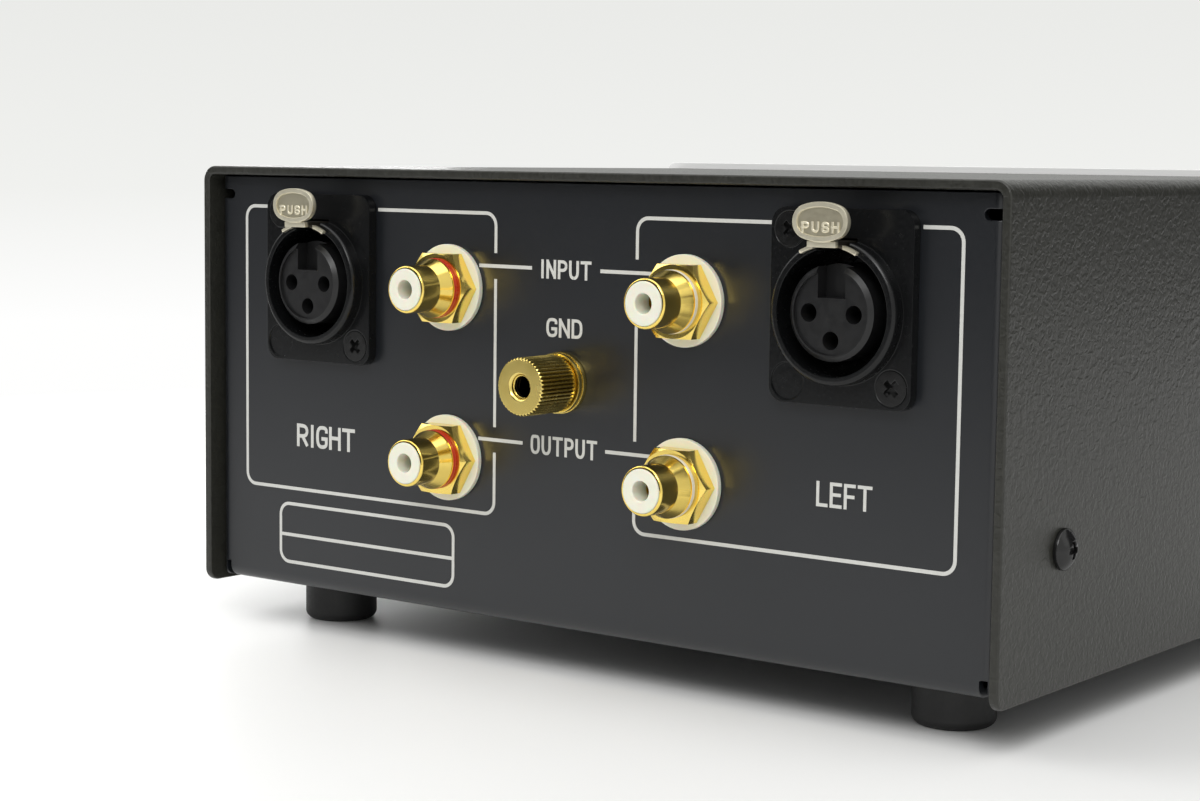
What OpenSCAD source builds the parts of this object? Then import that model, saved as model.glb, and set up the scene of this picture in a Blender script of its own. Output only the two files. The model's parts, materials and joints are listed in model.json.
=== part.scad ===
// Moving coil step-up transformer in a folded steel case.
// +X is to the right when facing the connector panel, -Y is out of that panel, +Z is up.
// The origin is on the floor, at the middle of the overall length and width.

/* [Case] */
// Outside width of the cover
case_w = 172; // [160:1:190]
// Length from the connector panel's face to the back of the front panel
case_len = 149.5; // [140:0.5:180]
// Height of the cover, from the lower edge of its sides to its top
cover_h = 80; // [79:0.1:90]
// Sheet thickness of the cover
cover_t = 1.6; // [1:0.1:2]
// Outside bend radius of the cover
cover_r = 2.8; // [2.2:0.1:5]
// Radius of the lower corners of the cover's sides
cover_corner_r = 2.4; // [1:0.1:6]
// How far the cover reaches past the connector panel
cover_lip = 2.6; // [0.5:0.1:5]
// How far the cover's sides hang below the chassis
cover_drop = 1; // [0:0.1:2]
// Sheet thickness of the chassis
chassis_t = 1.6; // [1:0.1:2]
// Outside bend radius of the chassis
chassis_r = 2.2; // [2.1:0.1:4]
// Length of the chassis's side flanges, at the rear and at the front
flange_len = 26; // [24:1:40]
// Length of the chassis's top flanges
top_flange = 9; // [6:0.5:12]
// Height of the lip along the chassis's sides
side_lip = 12; // [6:1:16]
// Width of the slits at the chassis's bends
relief_w = 1.3; // [0.8:0.1:2]

/* [Feet] */
// Radius of a foot
foot_r = 6.9; // [5.5:0.1:10]
// Height of a foot
foot_h = 8.7; // [7.5:0.1:14]
// Radius of the edge that a foot stands on
foot_edge_r = 1.6; // [0.5:0.1:2]
// Distance of the feet from the sides of the cover
foot_side = 17.9; // [14:0.1:24]
// Distance of the feet from the ends of the chassis
foot_inset = 16.75; // [12:0.25:25]

/* [Balanced sockets] */
// Distance of a balanced socket from the side of the cover
socket_side = 29.6; // [26:0.1:30]
// Height of a balanced socket's flange above the chassis's underside
socket_h = 58.7; // [50:0.1:59.5]
// Width of the flange
socket_flange_w = 26; // [25:0.1:27]
// Height of the flange
socket_flange_h = 31; // [30.5:0.1:32]
// Thickness of the flange
socket_flange_t = 2; // [1.8:0.1:2.4]
// Corner radius of the flange
socket_flange_r = 2.6; // [2:0.1:4.6]
// How far the bore lies below the middle of the flange
socket_bore_drop = 0.7; // [0:0.1:1]
// Radius of the bore that a plug slides into
socket_bore_r = 10; // [9.7:0.05:10.05]
// Outside radius of the rim around the bore
socket_rim_r = 11.4; // [11.1:0.05:11.5]
// How far the rim stands out of the panel
socket_rim_len = 4.6; // [4:0.1:5.2]
// Radius of the barrel behind the panel
socket_barrel_r = 11.7; // [11.6:0.05:12]
// Length of the barrel behind the panel
socket_barrel_len = 20; // [18:0.5:24]
// Radius of the contact insert
socket_insert_r = 7.6; // [7.2:0.05:7.8]
// Distance between the two flange screws across the flange
socket_screw_dx = 19; // [18.5:0.1:19.5]
// Distance between the two flange screws up the flange
socket_screw_dz = 24; // [23.5:0.1:24.5]
// Width of the release tab
tab_w = 10; // [8.5:0.1:10.5]
// Height of the release tab
tab_h = 6.15; // [5:0.05:6.4]
// Thickness of the release tab
tab_t = 1.1; // [0.9:0.1:1.6]
// How far the release tab stands out of the panel
tab_reach = 8.4; // [8:0.1:10]
// Width of the latch's arm
latch_w = 5.2; // [4.6:0.1:6.4]
// Thickness of the latch's arm
latch_t = 1; // [0.9:0.05:1.35]
// Radius of the latch's pivot pin
latch_pin_r = 0.4; // [0.3:0.05:0.45]

/* [Phono jacks] */
// Distance of a jack from the middle of the panel
jack_x = 25.7; // [22:0.1:28]
// Height of the input jacks above the chassis's underside
input_h = 58.3; // [50:0.1:62]
// Height of the output jacks above the chassis's underside
output_h = 28; // [20:0.1:32]
// How far a jack stands out of the panel
jack_len = 11.8; // [11:0.1:14]
// Radius of a jack's shell
shell_r = 4.15; // [4.1:0.05:4.2]
// Radius of the collar behind the shell
collar_r = 5.2; // [4.9:0.05:5.5]
// How far the collar's cone stands out of the panel
collar_reach = 7.3; // [6.8:0.1:8.5]
// Radius of a jack's threaded stem
stem_r = 4.6; // [4.4:0.05:4.7]
// Length of the stem behind the panel
stem_len = 9; // [8:0.5:12]
// Width of the hex flange across its flats
hex_af = 12.1; // [11:0.1:13]
// Thickness of the hex flange
hex_t = 3; // [2.4:0.1:3.4]
// Thickness of the coloured ring
ring_t = 0.8; // [0.4:0.1:1.4]
// Radius of the coloured ring
ring_r = 5.25; // [5:0.05:5.6]
// Radius of the white panel washer
washer_r = 7.65; // [7.2:0.05:8.4]
// Thickness of the white panel washer
washer_t = 1; // [0.8:0.1:1.2]
// Radius of the insulator inside the shell
insulator_r = 3.65; // [3.4:0.05:3.7]
// Radius of the hole that a plug's pin goes into
pin_hole_r = 1.65; // [1.6:0.05:1.75]

/* [Ground post] */
// Height of the ground post above the chassis's underside
ground_h = 43.1; // [40:0.1:45]
// Radius of the stud
stud_r = 1.95; // [1.5:0.05:2.2]
// How far the stud stands out of the panel
stud_reach = 6; // [5.6:0.1:9]
// Radius of the stud's flange
stud_flange_r = 5.3; // [5:0.1:6]
// Thickness of the stud's flange
stud_flange_t = 1; // [0.8:0.1:1.2]
// Radius of the clamp washer
clamp_r = 5.2; // [4.8:0.1:6]
// Thickness of the clamp washer
clamp_t = 1; // [0.8:0.1:1.2]
// Radius of the thumb nut over its teeth
thumb_r = 5; // [4.5:0.1:6]
// How far the thumb nut stands out of the panel
thumb_reach = 11.6; // [11:0.1:13]
// Number of teeth around the thumb nut
thumb_teeth = 44; // [24:2:60]
// Depth of the teeth
thumb_tooth = 0.45; // [0.2:0.05:0.5]

/* [Front] */
// Thickness of the front panel
front_t = 6; // [5:0.5:8]
// How far the front panel stands out past each side of the cover
front_side = 1; // [0:0.1:3]
// How far the front panel stands above the cover
front_rise = 1.4; // [0:0.1:4]
// How far the front panel hangs below the cover
front_drop = 1.1; // [0:0.1:3]
// Corner radius of the front panel
front_r = 2; // [1:0.1:5]
// Chamfer around the front panel's face
front_chamfer = 0.6; // [0.2:0.1:1]
// Distance of the front panel's screws from the sides of the cover
front_screw_side = 20; // [16:1:30]
// Height of the lower row of front panel screws above the chassis's underside
front_screw_low = 12; // [10:0.5:20]
// Height of the upper row of front panel screws above the chassis's underside
front_screw_high = 64; // [50:0.5:66]

/* [Selector] */
// Height of the selector's shaft above the chassis's underside
selector_h = 38; // [34:0.5:44]
// Radius of the knob
knob_r = 11; // [9.5:0.25:14]
// Length of the knob
knob_len = 13; // [11:0.5:18]
// Gap between the knob and the front panel
knob_gap = 0.8; // [0.5:0.1:1.5]
// Radius of the shaft
shaft_r = 3; // [2.5:0.1:3.2]
// Radius of the threaded bushing
bushing_r = 4.6; // [4.2:0.1:5]
// Radius of the switch wafer
wafer_r = 14; // [12:0.5:15]
// Distance from the chassis's front wall to the wafer
wafer_reach = 12; // [10:0.5:16]

/* [Transformers] */
// Distance of a transformer from the middle, across the case
can_x = 42; // [40:0.5:48]
// Distance of a transformer from the connector panel's face
can_y = 82; // [76:0.5:86]
// Outside radius of the shield can
can_r = 23; // [22:0.5:25]
// Height of the shield can
can_h = 46; // [42:0.5:50]
// Wall thickness of the shield can
can_t = 1; // [0.8:0.1:1.2]
// Width of the core's laminations
core_w = 36; // [34:0.5:36.5]
// Height of the core's laminations
core_h = 30; // [28:0.5:34]
// Thickness of the stack of laminations
core_stack = 14; // [12:0.5:15]
// Width of the core's middle leg
core_leg = 12; // [11:0.5:13]
// Thickness of the bobbin's tube
bobbin_t = 0.8; // [0.6:0.1:1]
// Thickness of the bobbin's end plates
bobbin_plate = 1; // [0.8:0.1:1.5]
// Build of the primary winding
primary_t = 1.5; // [1:0.1:1.8]
// Build of the secondary winding
secondary_t = 2.4; // [1.5:0.1:2.6]
// Distance of the can's screws from its middle
can_screw_y = 17; // [16.5:0.1:17.5]

/* [Fasteners] */
// Radius of a machine screw's thread
screw_r = 1.5; // [1.2:0.05:1.6]
// Radius of a pan head
head_r = 3.35; // [2.8:0.05:3.5]
// Height of a pan head
head_h = 2.2; // [1.4:0.1:2.4]
// Distance of a cover screw from the end of the chassis
cover_screw_y = 17.5; // [14:0.1:20]
// Height of a cover screw above the chassis's underside
cover_screw_h = 21.6; // [16:0.1:40]

/* [Leads] */
// Outside diameter of a screened lead
lead_d = 2.6; // [2:0.1:3]

/* [Fits] */
// Gap between pieces that are put together by hand
fit_gap = 0.3; // [0.2:0.05:0.4]
// Radial clearance of a pin that runs in its hole
run_gap = 0.05; // [0.03:0.01:0.08]

/* [Hidden] */
$fn = 48;

// Extra length of a cutter past the face that it cuts
over = 1;

// The left channel is on +X, because the panel is seen from behind the case
left = 1;
right = -1;
sides = [left, right];

// Places along the length: the connector panel's face, and the front panel's back and face
insulator_proud = 0.2;
rear_reach = max(jack_len + insulator_proud, thumb_reach, tab_reach);
total_len = rear_reach + case_len + front_t + knob_gap + knob_len;
rear_y = rear_reach - total_len / 2;
front_y = rear_y + case_len;
face_y = front_y + front_t;
middle_y = rear_y + case_len / 2;

// Heights: the chassis's underside, the cover's edges and the chassis's floor and top
base_z = foot_h;
cover_z = base_z - cover_drop;
case_top = cover_z + cover_h;
chassis_w = case_w - 2 * (cover_t + fit_gap);
chassis_h = case_top - cover_t - fit_gap - base_z;
floor_z = base_z + chassis_t;
front_w = case_w + 2 * front_side;
front_z = cover_z - front_drop;
front_h = cover_h + front_rise + front_drop;

// Places across the case that keep their distance from its sides
foot_x = case_w / 2 - foot_side;
socket_x = case_w / 2 - socket_side;
front_screw_x = case_w / 2 - front_screw_side;

// Places of the sockets on the connector panel
socket_z = base_z + socket_h;
bore_z = socket_z - socket_bore_drop;
input_z = base_z + input_h;
output_z = base_z + output_h;
ground_z = base_z + ground_h;
selector_z = base_z + selector_h;
jacks = [[jack_x, input_z], [-jack_x, input_z], [jack_x, output_z], [-jack_x, output_z]];

// Slits at the corners of the connector panel's bends
relief_reach = 3.1;
relief_top = 2.5;
relief_top_h = 1.7;
relief_low_x = 2.6;
relief_low_h = 3;
relief_depth = chassis_t + chassis_r;

// Balanced socket
socket_rim_round = 0.8;
socket_ledge = 4;
socket_ledge_r = socket_bore_r - 1.2;
socket_disc_t = 3;
socket_disc_r = socket_bore_r - 0.1;
socket_disc_z = socket_ledge - socket_barrel_len;
socket_insert_reach = socket_rim_len + 0.4;
socket_insert_bevel = 0.7;
socket_face_r = socket_insert_r - 1;
socket_face_depth = 0.5;
socket_key_w = 5;
socket_key_low = 2.3;
socket_key_depth = 3;
socket_hole_r = 1.45;
socket_holes = [[-4.1, -0.1], [4.1, -0.1], [0, -4.3]];
contact_r = 1.25;
contact_bore_r = 1.05;
contact_bore = 10;
contact_front = -2;
contact_tail = 2.5;
blank_r = 3;
blank_depth = 0.3;
socket_head_r = 2.8;
socket_head_h = 1.6;
sink_gap = 0.1;
sink_r = socket_head_r + sink_gap;
socket_screw_len = socket_flange_t + chassis_t + 2.5;

// Release latch, in the frame of its socket: y is up from the bore's axis, z is out of the panel
latch_y = socket_bore_r + 0.2;
latch_top = latch_y + latch_t;
latch_rear = -9.5;
latch_hook = 1.4;
latch_hook_w = 3;
latch_hook_len = 2;
knuckle_r = latch_pin_r + 0.45;
pivot_y = latch_y + 0.2;
pivot_z = -chassis_t - fit_gap - knuckle_r;
press_gap = 0.02;
slot_w = latch_w + 2 * fit_gap;
slot_rear = latch_rear - 0.8;
slot_top = latch_top + fit_gap;
latch_pin_len = slot_w + 1.8;
socket_cutout_r = max(socket_barrel_r, norm([latch_w / 2, latch_top])) + fit_gap;
tab_y = latch_y + 0.87 + tab_h / 2;
tab_bow_r = tab_w;
tab_bow_y = tab_bow_r - tab_h / 2;
tab_end_r = (tab_bow_r * tab_h - (tab_h * tab_h + tab_w * tab_w) / 4) / (2 * tab_bow_r - tab_w);
tab_end_x = tab_w / 2 - tab_end_r;
tab_join_x = tab_bow_r * tab_end_x / (tab_bow_r - tab_end_r);
tab_rim = 0.8;
tab_dish = 0.35;
wing_r = latch_y + 0.1;
wing_t = 0.6;
wing_z = socket_rim_len + 0.5;
wing_len = 0.9;
wing_angle = 29;
spring_t = 0.3;
spring_w = 3.4;
spring_hook = 0.8;
spring_rear = -socket_barrel_len + 1;
spring_front = latch_rear + 2.5;

// Phono jack: each layer from the panel outwards
hex_z = washer_t;
ring_z = hex_z + hex_t;
collar_z = ring_z + ring_t;
hex_cone = 30;
collar_band = 0.4;
shell_round = 0.45;
groove_r = collar_r - 0.7;
stem_hole_r = stem_r + 1;
spigot_r = stem_hole_r - 0.1;
spigot_len = chassis_t - 0.1;
contact_tube_r = 2.2;
contact_tube_floor = 0.6;
contact_tube_front = jack_len - 3.8;
contact_pin_r = 0.9;
contact_pin_len = 4;
inner_washer_r = 7.5;
inner_washer_t = 1;
lug_t = 0.5;
lug_r = 6.6;
lug_w = 4;
lug_reach = 12.5;
lug_hole_r = 0.9;
jack_nut_af = 12;
jack_nut_t = 2.2;
lug_z = -chassis_t - inner_washer_t - lug_t;

// Ground post
post_hole_r = stud_r + 0.3;
stud_len = 9;
seat_gap = 0.06;
clamp_z = stud_flange_t + seat_gap;
thumb_z = clamp_z + clamp_t + seat_gap;
thumb_shoulder = 0.3;
thumb_chamfer = 0.35;
thumb_mouth = 0.4;
post_nut_af = 7;
post_nut_t = 2.4;
post_lug_r = 4;

// Selector
selector_hole_r = bushing_r + 0.15;
selector_nut_af = 12;
selector_nut_t = 2;
bushing_reach = selector_nut_t + 0.4;
knob_skirt_r = 8;
knob_skirt_depth = selector_nut_t + 1.6;
knob_chamfer = 0.8;
knob_roof = 3;
knob_line_w = 1;
knob_line_depth = 0.5;
knob_line_len = 6;
grub_r = 1.25;
grub_z = knob_gap + 0.55 * knob_len;
grub_len = 4.5;
shaft_front = knob_gap + knob_len - knob_roof - fit_gap;
wall_z = -front_t - chassis_t;
frame_w = 24;
frame_t = 2;
post_r = 1.5;
post_x = 9.5;
wafer_t = 1.6;
wafer_z = wall_z - wafer_reach;
wafer_lugs = 10;
wafer_lug_w = 1.8;
wafer_lug_len = 3;
wafer_lug_t = 0.4;
shaft_rear = wafer_z - wafer_t - 1.5;

// Transformer, from the chassis's floor upwards
can_floor = floor_z;
core_z = can_floor + can_t;
core_yoke = core_leg / 2;
core_window = (core_w - 2 * core_leg) / 2;
window_h = core_h - 2 * core_yoke;
bobbin_clear = 0.15;
winding_gap = 0.1;
bobbin_h = window_h - 2 * bobbin_clear;
bobbin_z = core_z + core_yoke + bobbin_clear;
bobbin_out = core_window - bobbin_clear;
lid_z = can_floor + can_h;
lid_t = 1.2;
lid_lip = 2;
lid_gap = 0.1;
terminal_r = 1;
terminal_head_r = 1.6;
terminal_head = 0.6;
terminal_up = 5;
terminal_down = 3;
terminal_x = 9;
terminal_y = 7;
terminal_places = [[-terminal_x, -terminal_y], [terminal_x, -terminal_y],
    [-terminal_x, terminal_y], [terminal_x, terminal_y]];
can_nut_af = 5.5;
can_nut_t = 2.4;

// Routes of the left channel's leads: each starts and ends a small gap from a contact
lead_gap = 0.35;
tag_r = wafer_r + 1.7;
tag_y = face_y + wafer_z - (wafer_t + wafer_lug_t) / 2 - lead_gap;
function tag(a) = [tag_r * cos(a), tag_y, selector_z + tag_r * sin(a)];
can_mid = rear_y + can_y;
pin_z = lid_z + lid_t + terminal_up + lead_gap;
primary_pin = [can_x - terminal_x, can_mid + terminal_y, pin_z];
secondary_pin = [can_x - terminal_x, can_mid - terminal_y, pin_z];
balanced_pin = [socket_x, rear_y + socket_barrel_len + contact_tail + lead_gap, bore_z + socket_holes[2][1]];
input_pin = [jack_x, rear_y + stem_len + contact_pin_len + lead_gap, input_z];
output_pin = [jack_x, input_pin[1], output_z];
lead_routes = [
    [balanced_pin, balanced_pin + [0, 9, 1], [can_x + 8, can_mid - 18, pin_z + 6],
        [can_x - 10, can_mid + 20, pin_z + 4], tag(54) + [1, -9, 1], tag(54)],
    [input_pin, input_pin + [0, 9, 0], [can_x - can_r - 5, can_mid, selector_z + 10],
        tag(18) + [0.5, -9, 0.5], tag(18)],
    [primary_pin, primary_pin + [0, 0, 4], primary_pin + [-8, 16, 1], tag(-18) + [0.5, -9, 1], tag(-18)],
    [secondary_pin, secondary_pin + [0, 0, 4], secondary_pin + [-1, -17, 1],
        [jack_x + 2, can_mid - 44, output_z + 14], output_pin + [0, 9, 1], output_pin]
];

// Screw heads and fits
head_edge = 0.7;
recess_len = 2.8;
recess_w = 0.9;
recess_depth = 1;
thread_r = screw_r + run_gap;
clear_r = screw_r + 0.2;
cover_screw_len = cover_t + fit_gap + chassis_t + 1.5;
front_screw_len = chassis_t + front_t - 1.7;
front_screw_hole = front_t - 1.2;
foot_head_r = head_r + fit_gap;
foot_web = 2.6;
foot_screw_len = foot_web + chassis_t + 2;
can_screw_len = chassis_t + can_t + can_nut_t;

// Colours
paint_dark = [0.24, 0.24, 0.24];
paint_panel = [0.17, 0.18, 0.19];
black_steel = [0.08, 0.08, 0.08];
rubber = [0.06, 0.06, 0.06];
silver = [0.78, 0.78, 0.76];
nickel = [0.78, 0.75, 0.65];
gold = [0.86, 0.7, 0.22];
white_plastic = [0.93, 0.92, 0.88];
red_plastic = [0.75, 0.08, 0.06];
grey_plastic = [0.22, 0.22, 0.23];
copper = [0.72, 0.38, 0.2];
amber_board = [0.6, 0.42, 0.2];
steel = [0.6, 0.6, 0.62];
lead_grey = [0.3, 0.3, 0.32];

// Frames

// On the connector panel: x to the right, y up, z out of the panel
module on_rear(x, z) {
    translate([x, rear_y, z])
        rotate([90, 0, 0])
            children();
}

// On the front panel's face: x to the right of the connector panel, z out of the front
module on_front(x, z) {
    translate([x, face_y, z])
        rotate([-90, 0, 0])
            children();
}

// Extrudes an outline drawn in y and z along x
module extrude_x(start, len) {
    translate([start, 0, 0])
        rotate([90, 0, 90])
            linear_extrude(len)
                children();
}

// Extrudes an outline drawn in x and z along y
module extrude_y(start, len) {
    translate([0, start + len, 0])
        rotate([90, 0, 0])
            linear_extrude(len)
                children();
}

// Outlines

// A centred rectangle with round corners
module rounded(size, r) {
    square([size[0] - 2 * r, size[1]], center = true);
    square([size[0], size[1] - 2 * r], center = true);
    for (x = [-1, 1])
        for (y = [-1, 1])
            translate([x * (size[0] / 2 - r), y * (size[1] / 2 - r)])
                circle(r);
}

// A rectangle that stands on y = 0 and has round upper corners
module arch(w, h, r) {
    translate([-w / 2, 0])
        square([w, h - r]);
    translate([-w / 2 + r, 0])
        square([w - 2 * r, h]);
    for (x = [-1, 1])
        translate([x * (w / 2 - r), h - r])
            circle(r);
}

// A rectangle that stands on y = 0 and has round lower corners
module trough(w, h, r) {
    translate([0, h])
        mirror([0, 1])
            arch(w, h, r);
}

module hexagon(af) {
    circle(af / sqrt(3), $fn = 6);
}

// A tube along z
module pipe(outer, inner, z, len) {
    translate([0, 0, z])
        linear_extrude(len)
            difference() {
                circle(outer);
                circle(inner);
            }
}

// Fasteners, each along z with the underside of its head at z = 0

// Cross recess cut into a head from its top
module cross_recess(top) {
    for (a = [0, 90])
        rotate([0, 0, a])
            translate([0, 0, top])
                cube([recess_len, recess_w, 2 * recess_depth], center = true);
}

// Pan-head machine screw
module pan_screw(len) {
    rise = head_h - head_edge;
    dome = (head_r * head_r + rise * rise) / (2 * rise);
    difference() {
        union() {
            rotate_extrude()
                intersection() {
                    square([head_r, head_h]);
                    translate([0, head_h - dome])
                        circle(dome, $fn = 96);
                }
            translate([0, 0, -len])
                cylinder(h = len + head_h / 2, r = screw_r);
        }
        cross_recess(head_h);
    }
}

// Flat-head screw, whose head ends flush at z = 0
module flat_screw(len) {
    difference() {
        union() {
            translate([0, 0, -socket_head_h])
                cylinder(h = socket_head_h, r1 = screw_r, r2 = socket_head_r);
            translate([0, 0, -len])
                cylinder(h = len, r = screw_r);
        }
        cross_recess(0);
    }
}

// Hex nut that stands on z = 0
module hex_nut(af, t, hole_r) {
    linear_extrude(t)
        difference() {
            hexagon(af);
            circle(hole_r);
        }
}

// Case

// Folded from one sheet: a top and two sides that hang over the connector panel
module cover() {
    len = cover_lip + case_len;
    color(paint_dark)
        difference() {
            intersection() {
                extrude_y(rear_y - cover_lip, len)
                    translate([0, cover_z])
                        difference() {
                            arch(case_w, cover_h, cover_r);
                            translate([0, -over])
                                arch(case_w - 2 * cover_t, cover_h - cover_t + over, cover_r - cover_t);
                        }
                extrude_x(-case_w, 2 * case_w)
                    translate([front_y - len / 2, cover_z])
                        trough(len, cover_h, cover_corner_r);
            }
            for (side = sides)
                at_cover_screws(side)
                    translate([0, 0, -cover_t - over])
                        cylinder(h = cover_t + 2 * over, r = clear_r);
        }
}

// Places a child on one side of the cover, z out of the case, at both ends
module at_cover_screws(side) {
    for (y = [rear_y + cover_screw_y, front_y - cover_screw_y])
        translate([side * case_w / 2, y, base_z + cover_screw_h])
            rotate([0, side * 90, 0])
                children();
}

module cover_screws() {
    color(black_steel)
        for (side = sides)
            at_cover_screws(side)
                pan_screw(cover_screw_len);
}

// The space inside a fold of the chassis, or its outside where the inset is 0
module chassis_block(inset) {
    len = case_len - 2 * inset;
    r = chassis_r - inset;
    intersection() {
        translate([0, middle_y, base_z + inset])
            linear_extrude(chassis_h)
                rounded([chassis_w - 2 * inset, len], r);
        extrude_x(-chassis_w, 2 * chassis_w)
            translate([middle_y, base_z + inset])
                trough(len, chassis_h, r);
        extrude_y(rear_y - over, case_len + 2 * over)
            translate([0, base_z - over])
                arch(chassis_w, chassis_h + over + inset, cover_r - cover_t);
    }
}

// Tray with the connector panel at the rear, a wall for the front panel, and flanges for the cover
module chassis() {
    window_len = case_len - 2 * flange_len;
    color(paint_panel)
        difference() {
            union() {
                difference() {
                    chassis_block(0);
                    chassis_block(chassis_t);
                    translate([-case_w, rear_y + flange_len, base_z + side_lip])
                        cube([2 * case_w, window_len, chassis_h]);
                }
                for (y = [rear_y + chassis_t / 2, front_y - top_flange - chassis_t / 2])
                    translate([-chassis_w / 2 + relief_reach, y, base_z + chassis_h - chassis_t])
                        cube([chassis_w - 2 * relief_reach, top_flange, chassis_t]);
            }
            chassis_reliefs();
            connector_holes();
            for (side = sides)
                at_cover_screws(side)
                    translate([0, 0, -cover_screw_len - over])
                        cylinder(h = cover_screw_len + over, r = thread_r);
            at_front_screws()
                translate([0, 0, -over])
                    cylinder(h = chassis_t + 2 * over, r = clear_r);
            on_front(0, selector_z)
                translate([0, 0, wall_z - over])
                    cylinder(h = chassis_t + 2 * over, r = selector_hole_r);
            at_feet()
                translate([0, 0, -over])
                    cylinder(h = chassis_t + 2 * over, r = thread_r);
            at_can_screws()
                translate([0, 0, -over])
                    cylinder(h = chassis_t + 2 * over, r = clear_r);
        }
}

// Slits that let the connector panel's edges be folded apart from each other
module chassis_reliefs() {
    for (side = sides)
        translate([side * chassis_w / 2, rear_y - over, 0]) {
            translate([-relief_reach, 0, base_z + chassis_h - relief_top - relief_top_h])
                cube([2 * relief_reach, relief_depth + over, relief_top_h]);
            translate([-side * relief_reach, 0, base_z + chassis_h - relief_top - relief_top_h / 2])
                rotate([-90, 0, 0])
                    cylinder(h = relief_depth + over, r = relief_top_h / 2);
            translate([-side * (relief_low_x - relief_w / 2) - relief_w / 2, 0, base_z - over])
                cube([relief_w, relief_depth + over, relief_low_h + over]);
        }
}

// Holes in the connector panel for the sockets and the ground post
module connector_holes() {
    deep = chassis_t + 2 * over;
    for (side = sides) {
        on_rear(side * socket_x, bore_z)
            translate([0, 0, over - deep])
                cylinder(h = deep, r = socket_cutout_r);
        on_rear(side * socket_x, socket_z)
            for (s = [-1, 1])
                translate([-s * socket_screw_dx / 2, s * socket_screw_dz / 2, over - deep])
                    cylinder(h = deep, r = thread_r);
    }
    for (place = jacks)
        on_rear(place[0], place[1])
            translate([0, 0, over - deep])
                cylinder(h = deep, r = stem_hole_r);
    on_rear(0, ground_z)
        translate([0, 0, over - deep])
            cylinder(h = deep, r = post_hole_r);
}

// Plate screwed on from inside the chassis, a little larger than the cover all round
module front_panel() {
    color(silver)
        difference() {
            intersection() {
                extrude_y(front_y, front_t)
                    translate([0, front_z + front_h / 2])
                        rounded([front_w, front_h], front_r);
                translate([0, front_y, front_z - over])
                    linear_extrude(front_h + 2 * over)
                        chamfered_edge(front_w);
                translate([0, front_y, front_z + front_h / 2])
                    rotate([0, 90, 0])
                        translate([0, 0, -front_w / 2 - over])
                            linear_extrude(front_w + 2 * over)
                                chamfered_edge(front_h);
            }
            on_front(0, selector_z)
                translate([0, 0, -front_t - over])
                    cylinder(h = front_t + 2 * over, r = selector_hole_r);
            at_front_screws()
                translate([0, 0, -front_screw_hole])
                    cylinder(h = front_screw_hole + over, r = thread_r);
        }
}

// Section of a plate that lies on y = 0, with its upper edges chamfered
module chamfered_edge(w) {
    half = w / 2;
    polygon([
        [-half, 0], [half, 0], [half, front_t - front_chamfer], [half - front_chamfer, front_t],
        [front_chamfer - half, front_t], [-half, front_t - front_chamfer]
    ]);
}

// Places a child at each front panel screw, on the back of the front panel, z into the case
module at_front_screws() {
    for (x = [-front_screw_x, front_screw_x])
        for (z = [front_screw_low, front_screw_high])
            translate([x, front_y, base_z + z])
                rotate([90, 0, 0])
                    children();
}

module front_panel_screws() {
    color(black_steel)
        at_front_screws()
            translate([0, 0, chassis_t])
                pan_screw(front_screw_len);
}

// Feet

module at_feet() {
    for (side = sides)
        for (y = [rear_y + foot_inset, front_y - foot_inset])
            translate([side * foot_x, y, base_z])
                children();
}

// Round rubber foot with a pocket for its screw's head
module foot(x, y) {
    color(rubber)
        translate([x, y, 0])
            difference() {
                rotate_extrude() {
                    translate([0, foot_edge_r])
                        square([foot_r, foot_h - foot_edge_r]);
                    square([foot_r - foot_edge_r, foot_h]);
                    translate([foot_r - foot_edge_r, foot_edge_r])
                        circle(foot_edge_r);
                }
                translate([0, 0, -over])
                    cylinder(h = foot_h + 2 * over, r = clear_r);
                translate([0, 0, -over])
                    cylinder(h = foot_h - foot_web + over, r = foot_head_r);
            }
}

module foot_rear_left() {
    foot(foot_x, rear_y + foot_inset);
}

module foot_rear_right() {
    foot(-foot_x, rear_y + foot_inset);
}

module foot_front_left() {
    foot(foot_x, front_y - foot_inset);
}

module foot_front_right() {
    foot(-foot_x, front_y - foot_inset);
}

module foot_screws() {
    color(black_steel)
        at_feet()
            translate([0, 0, -foot_web])
                rotate([180, 0, 0])
                    pan_screw(foot_screw_len);
}

// Balanced sockets

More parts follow.
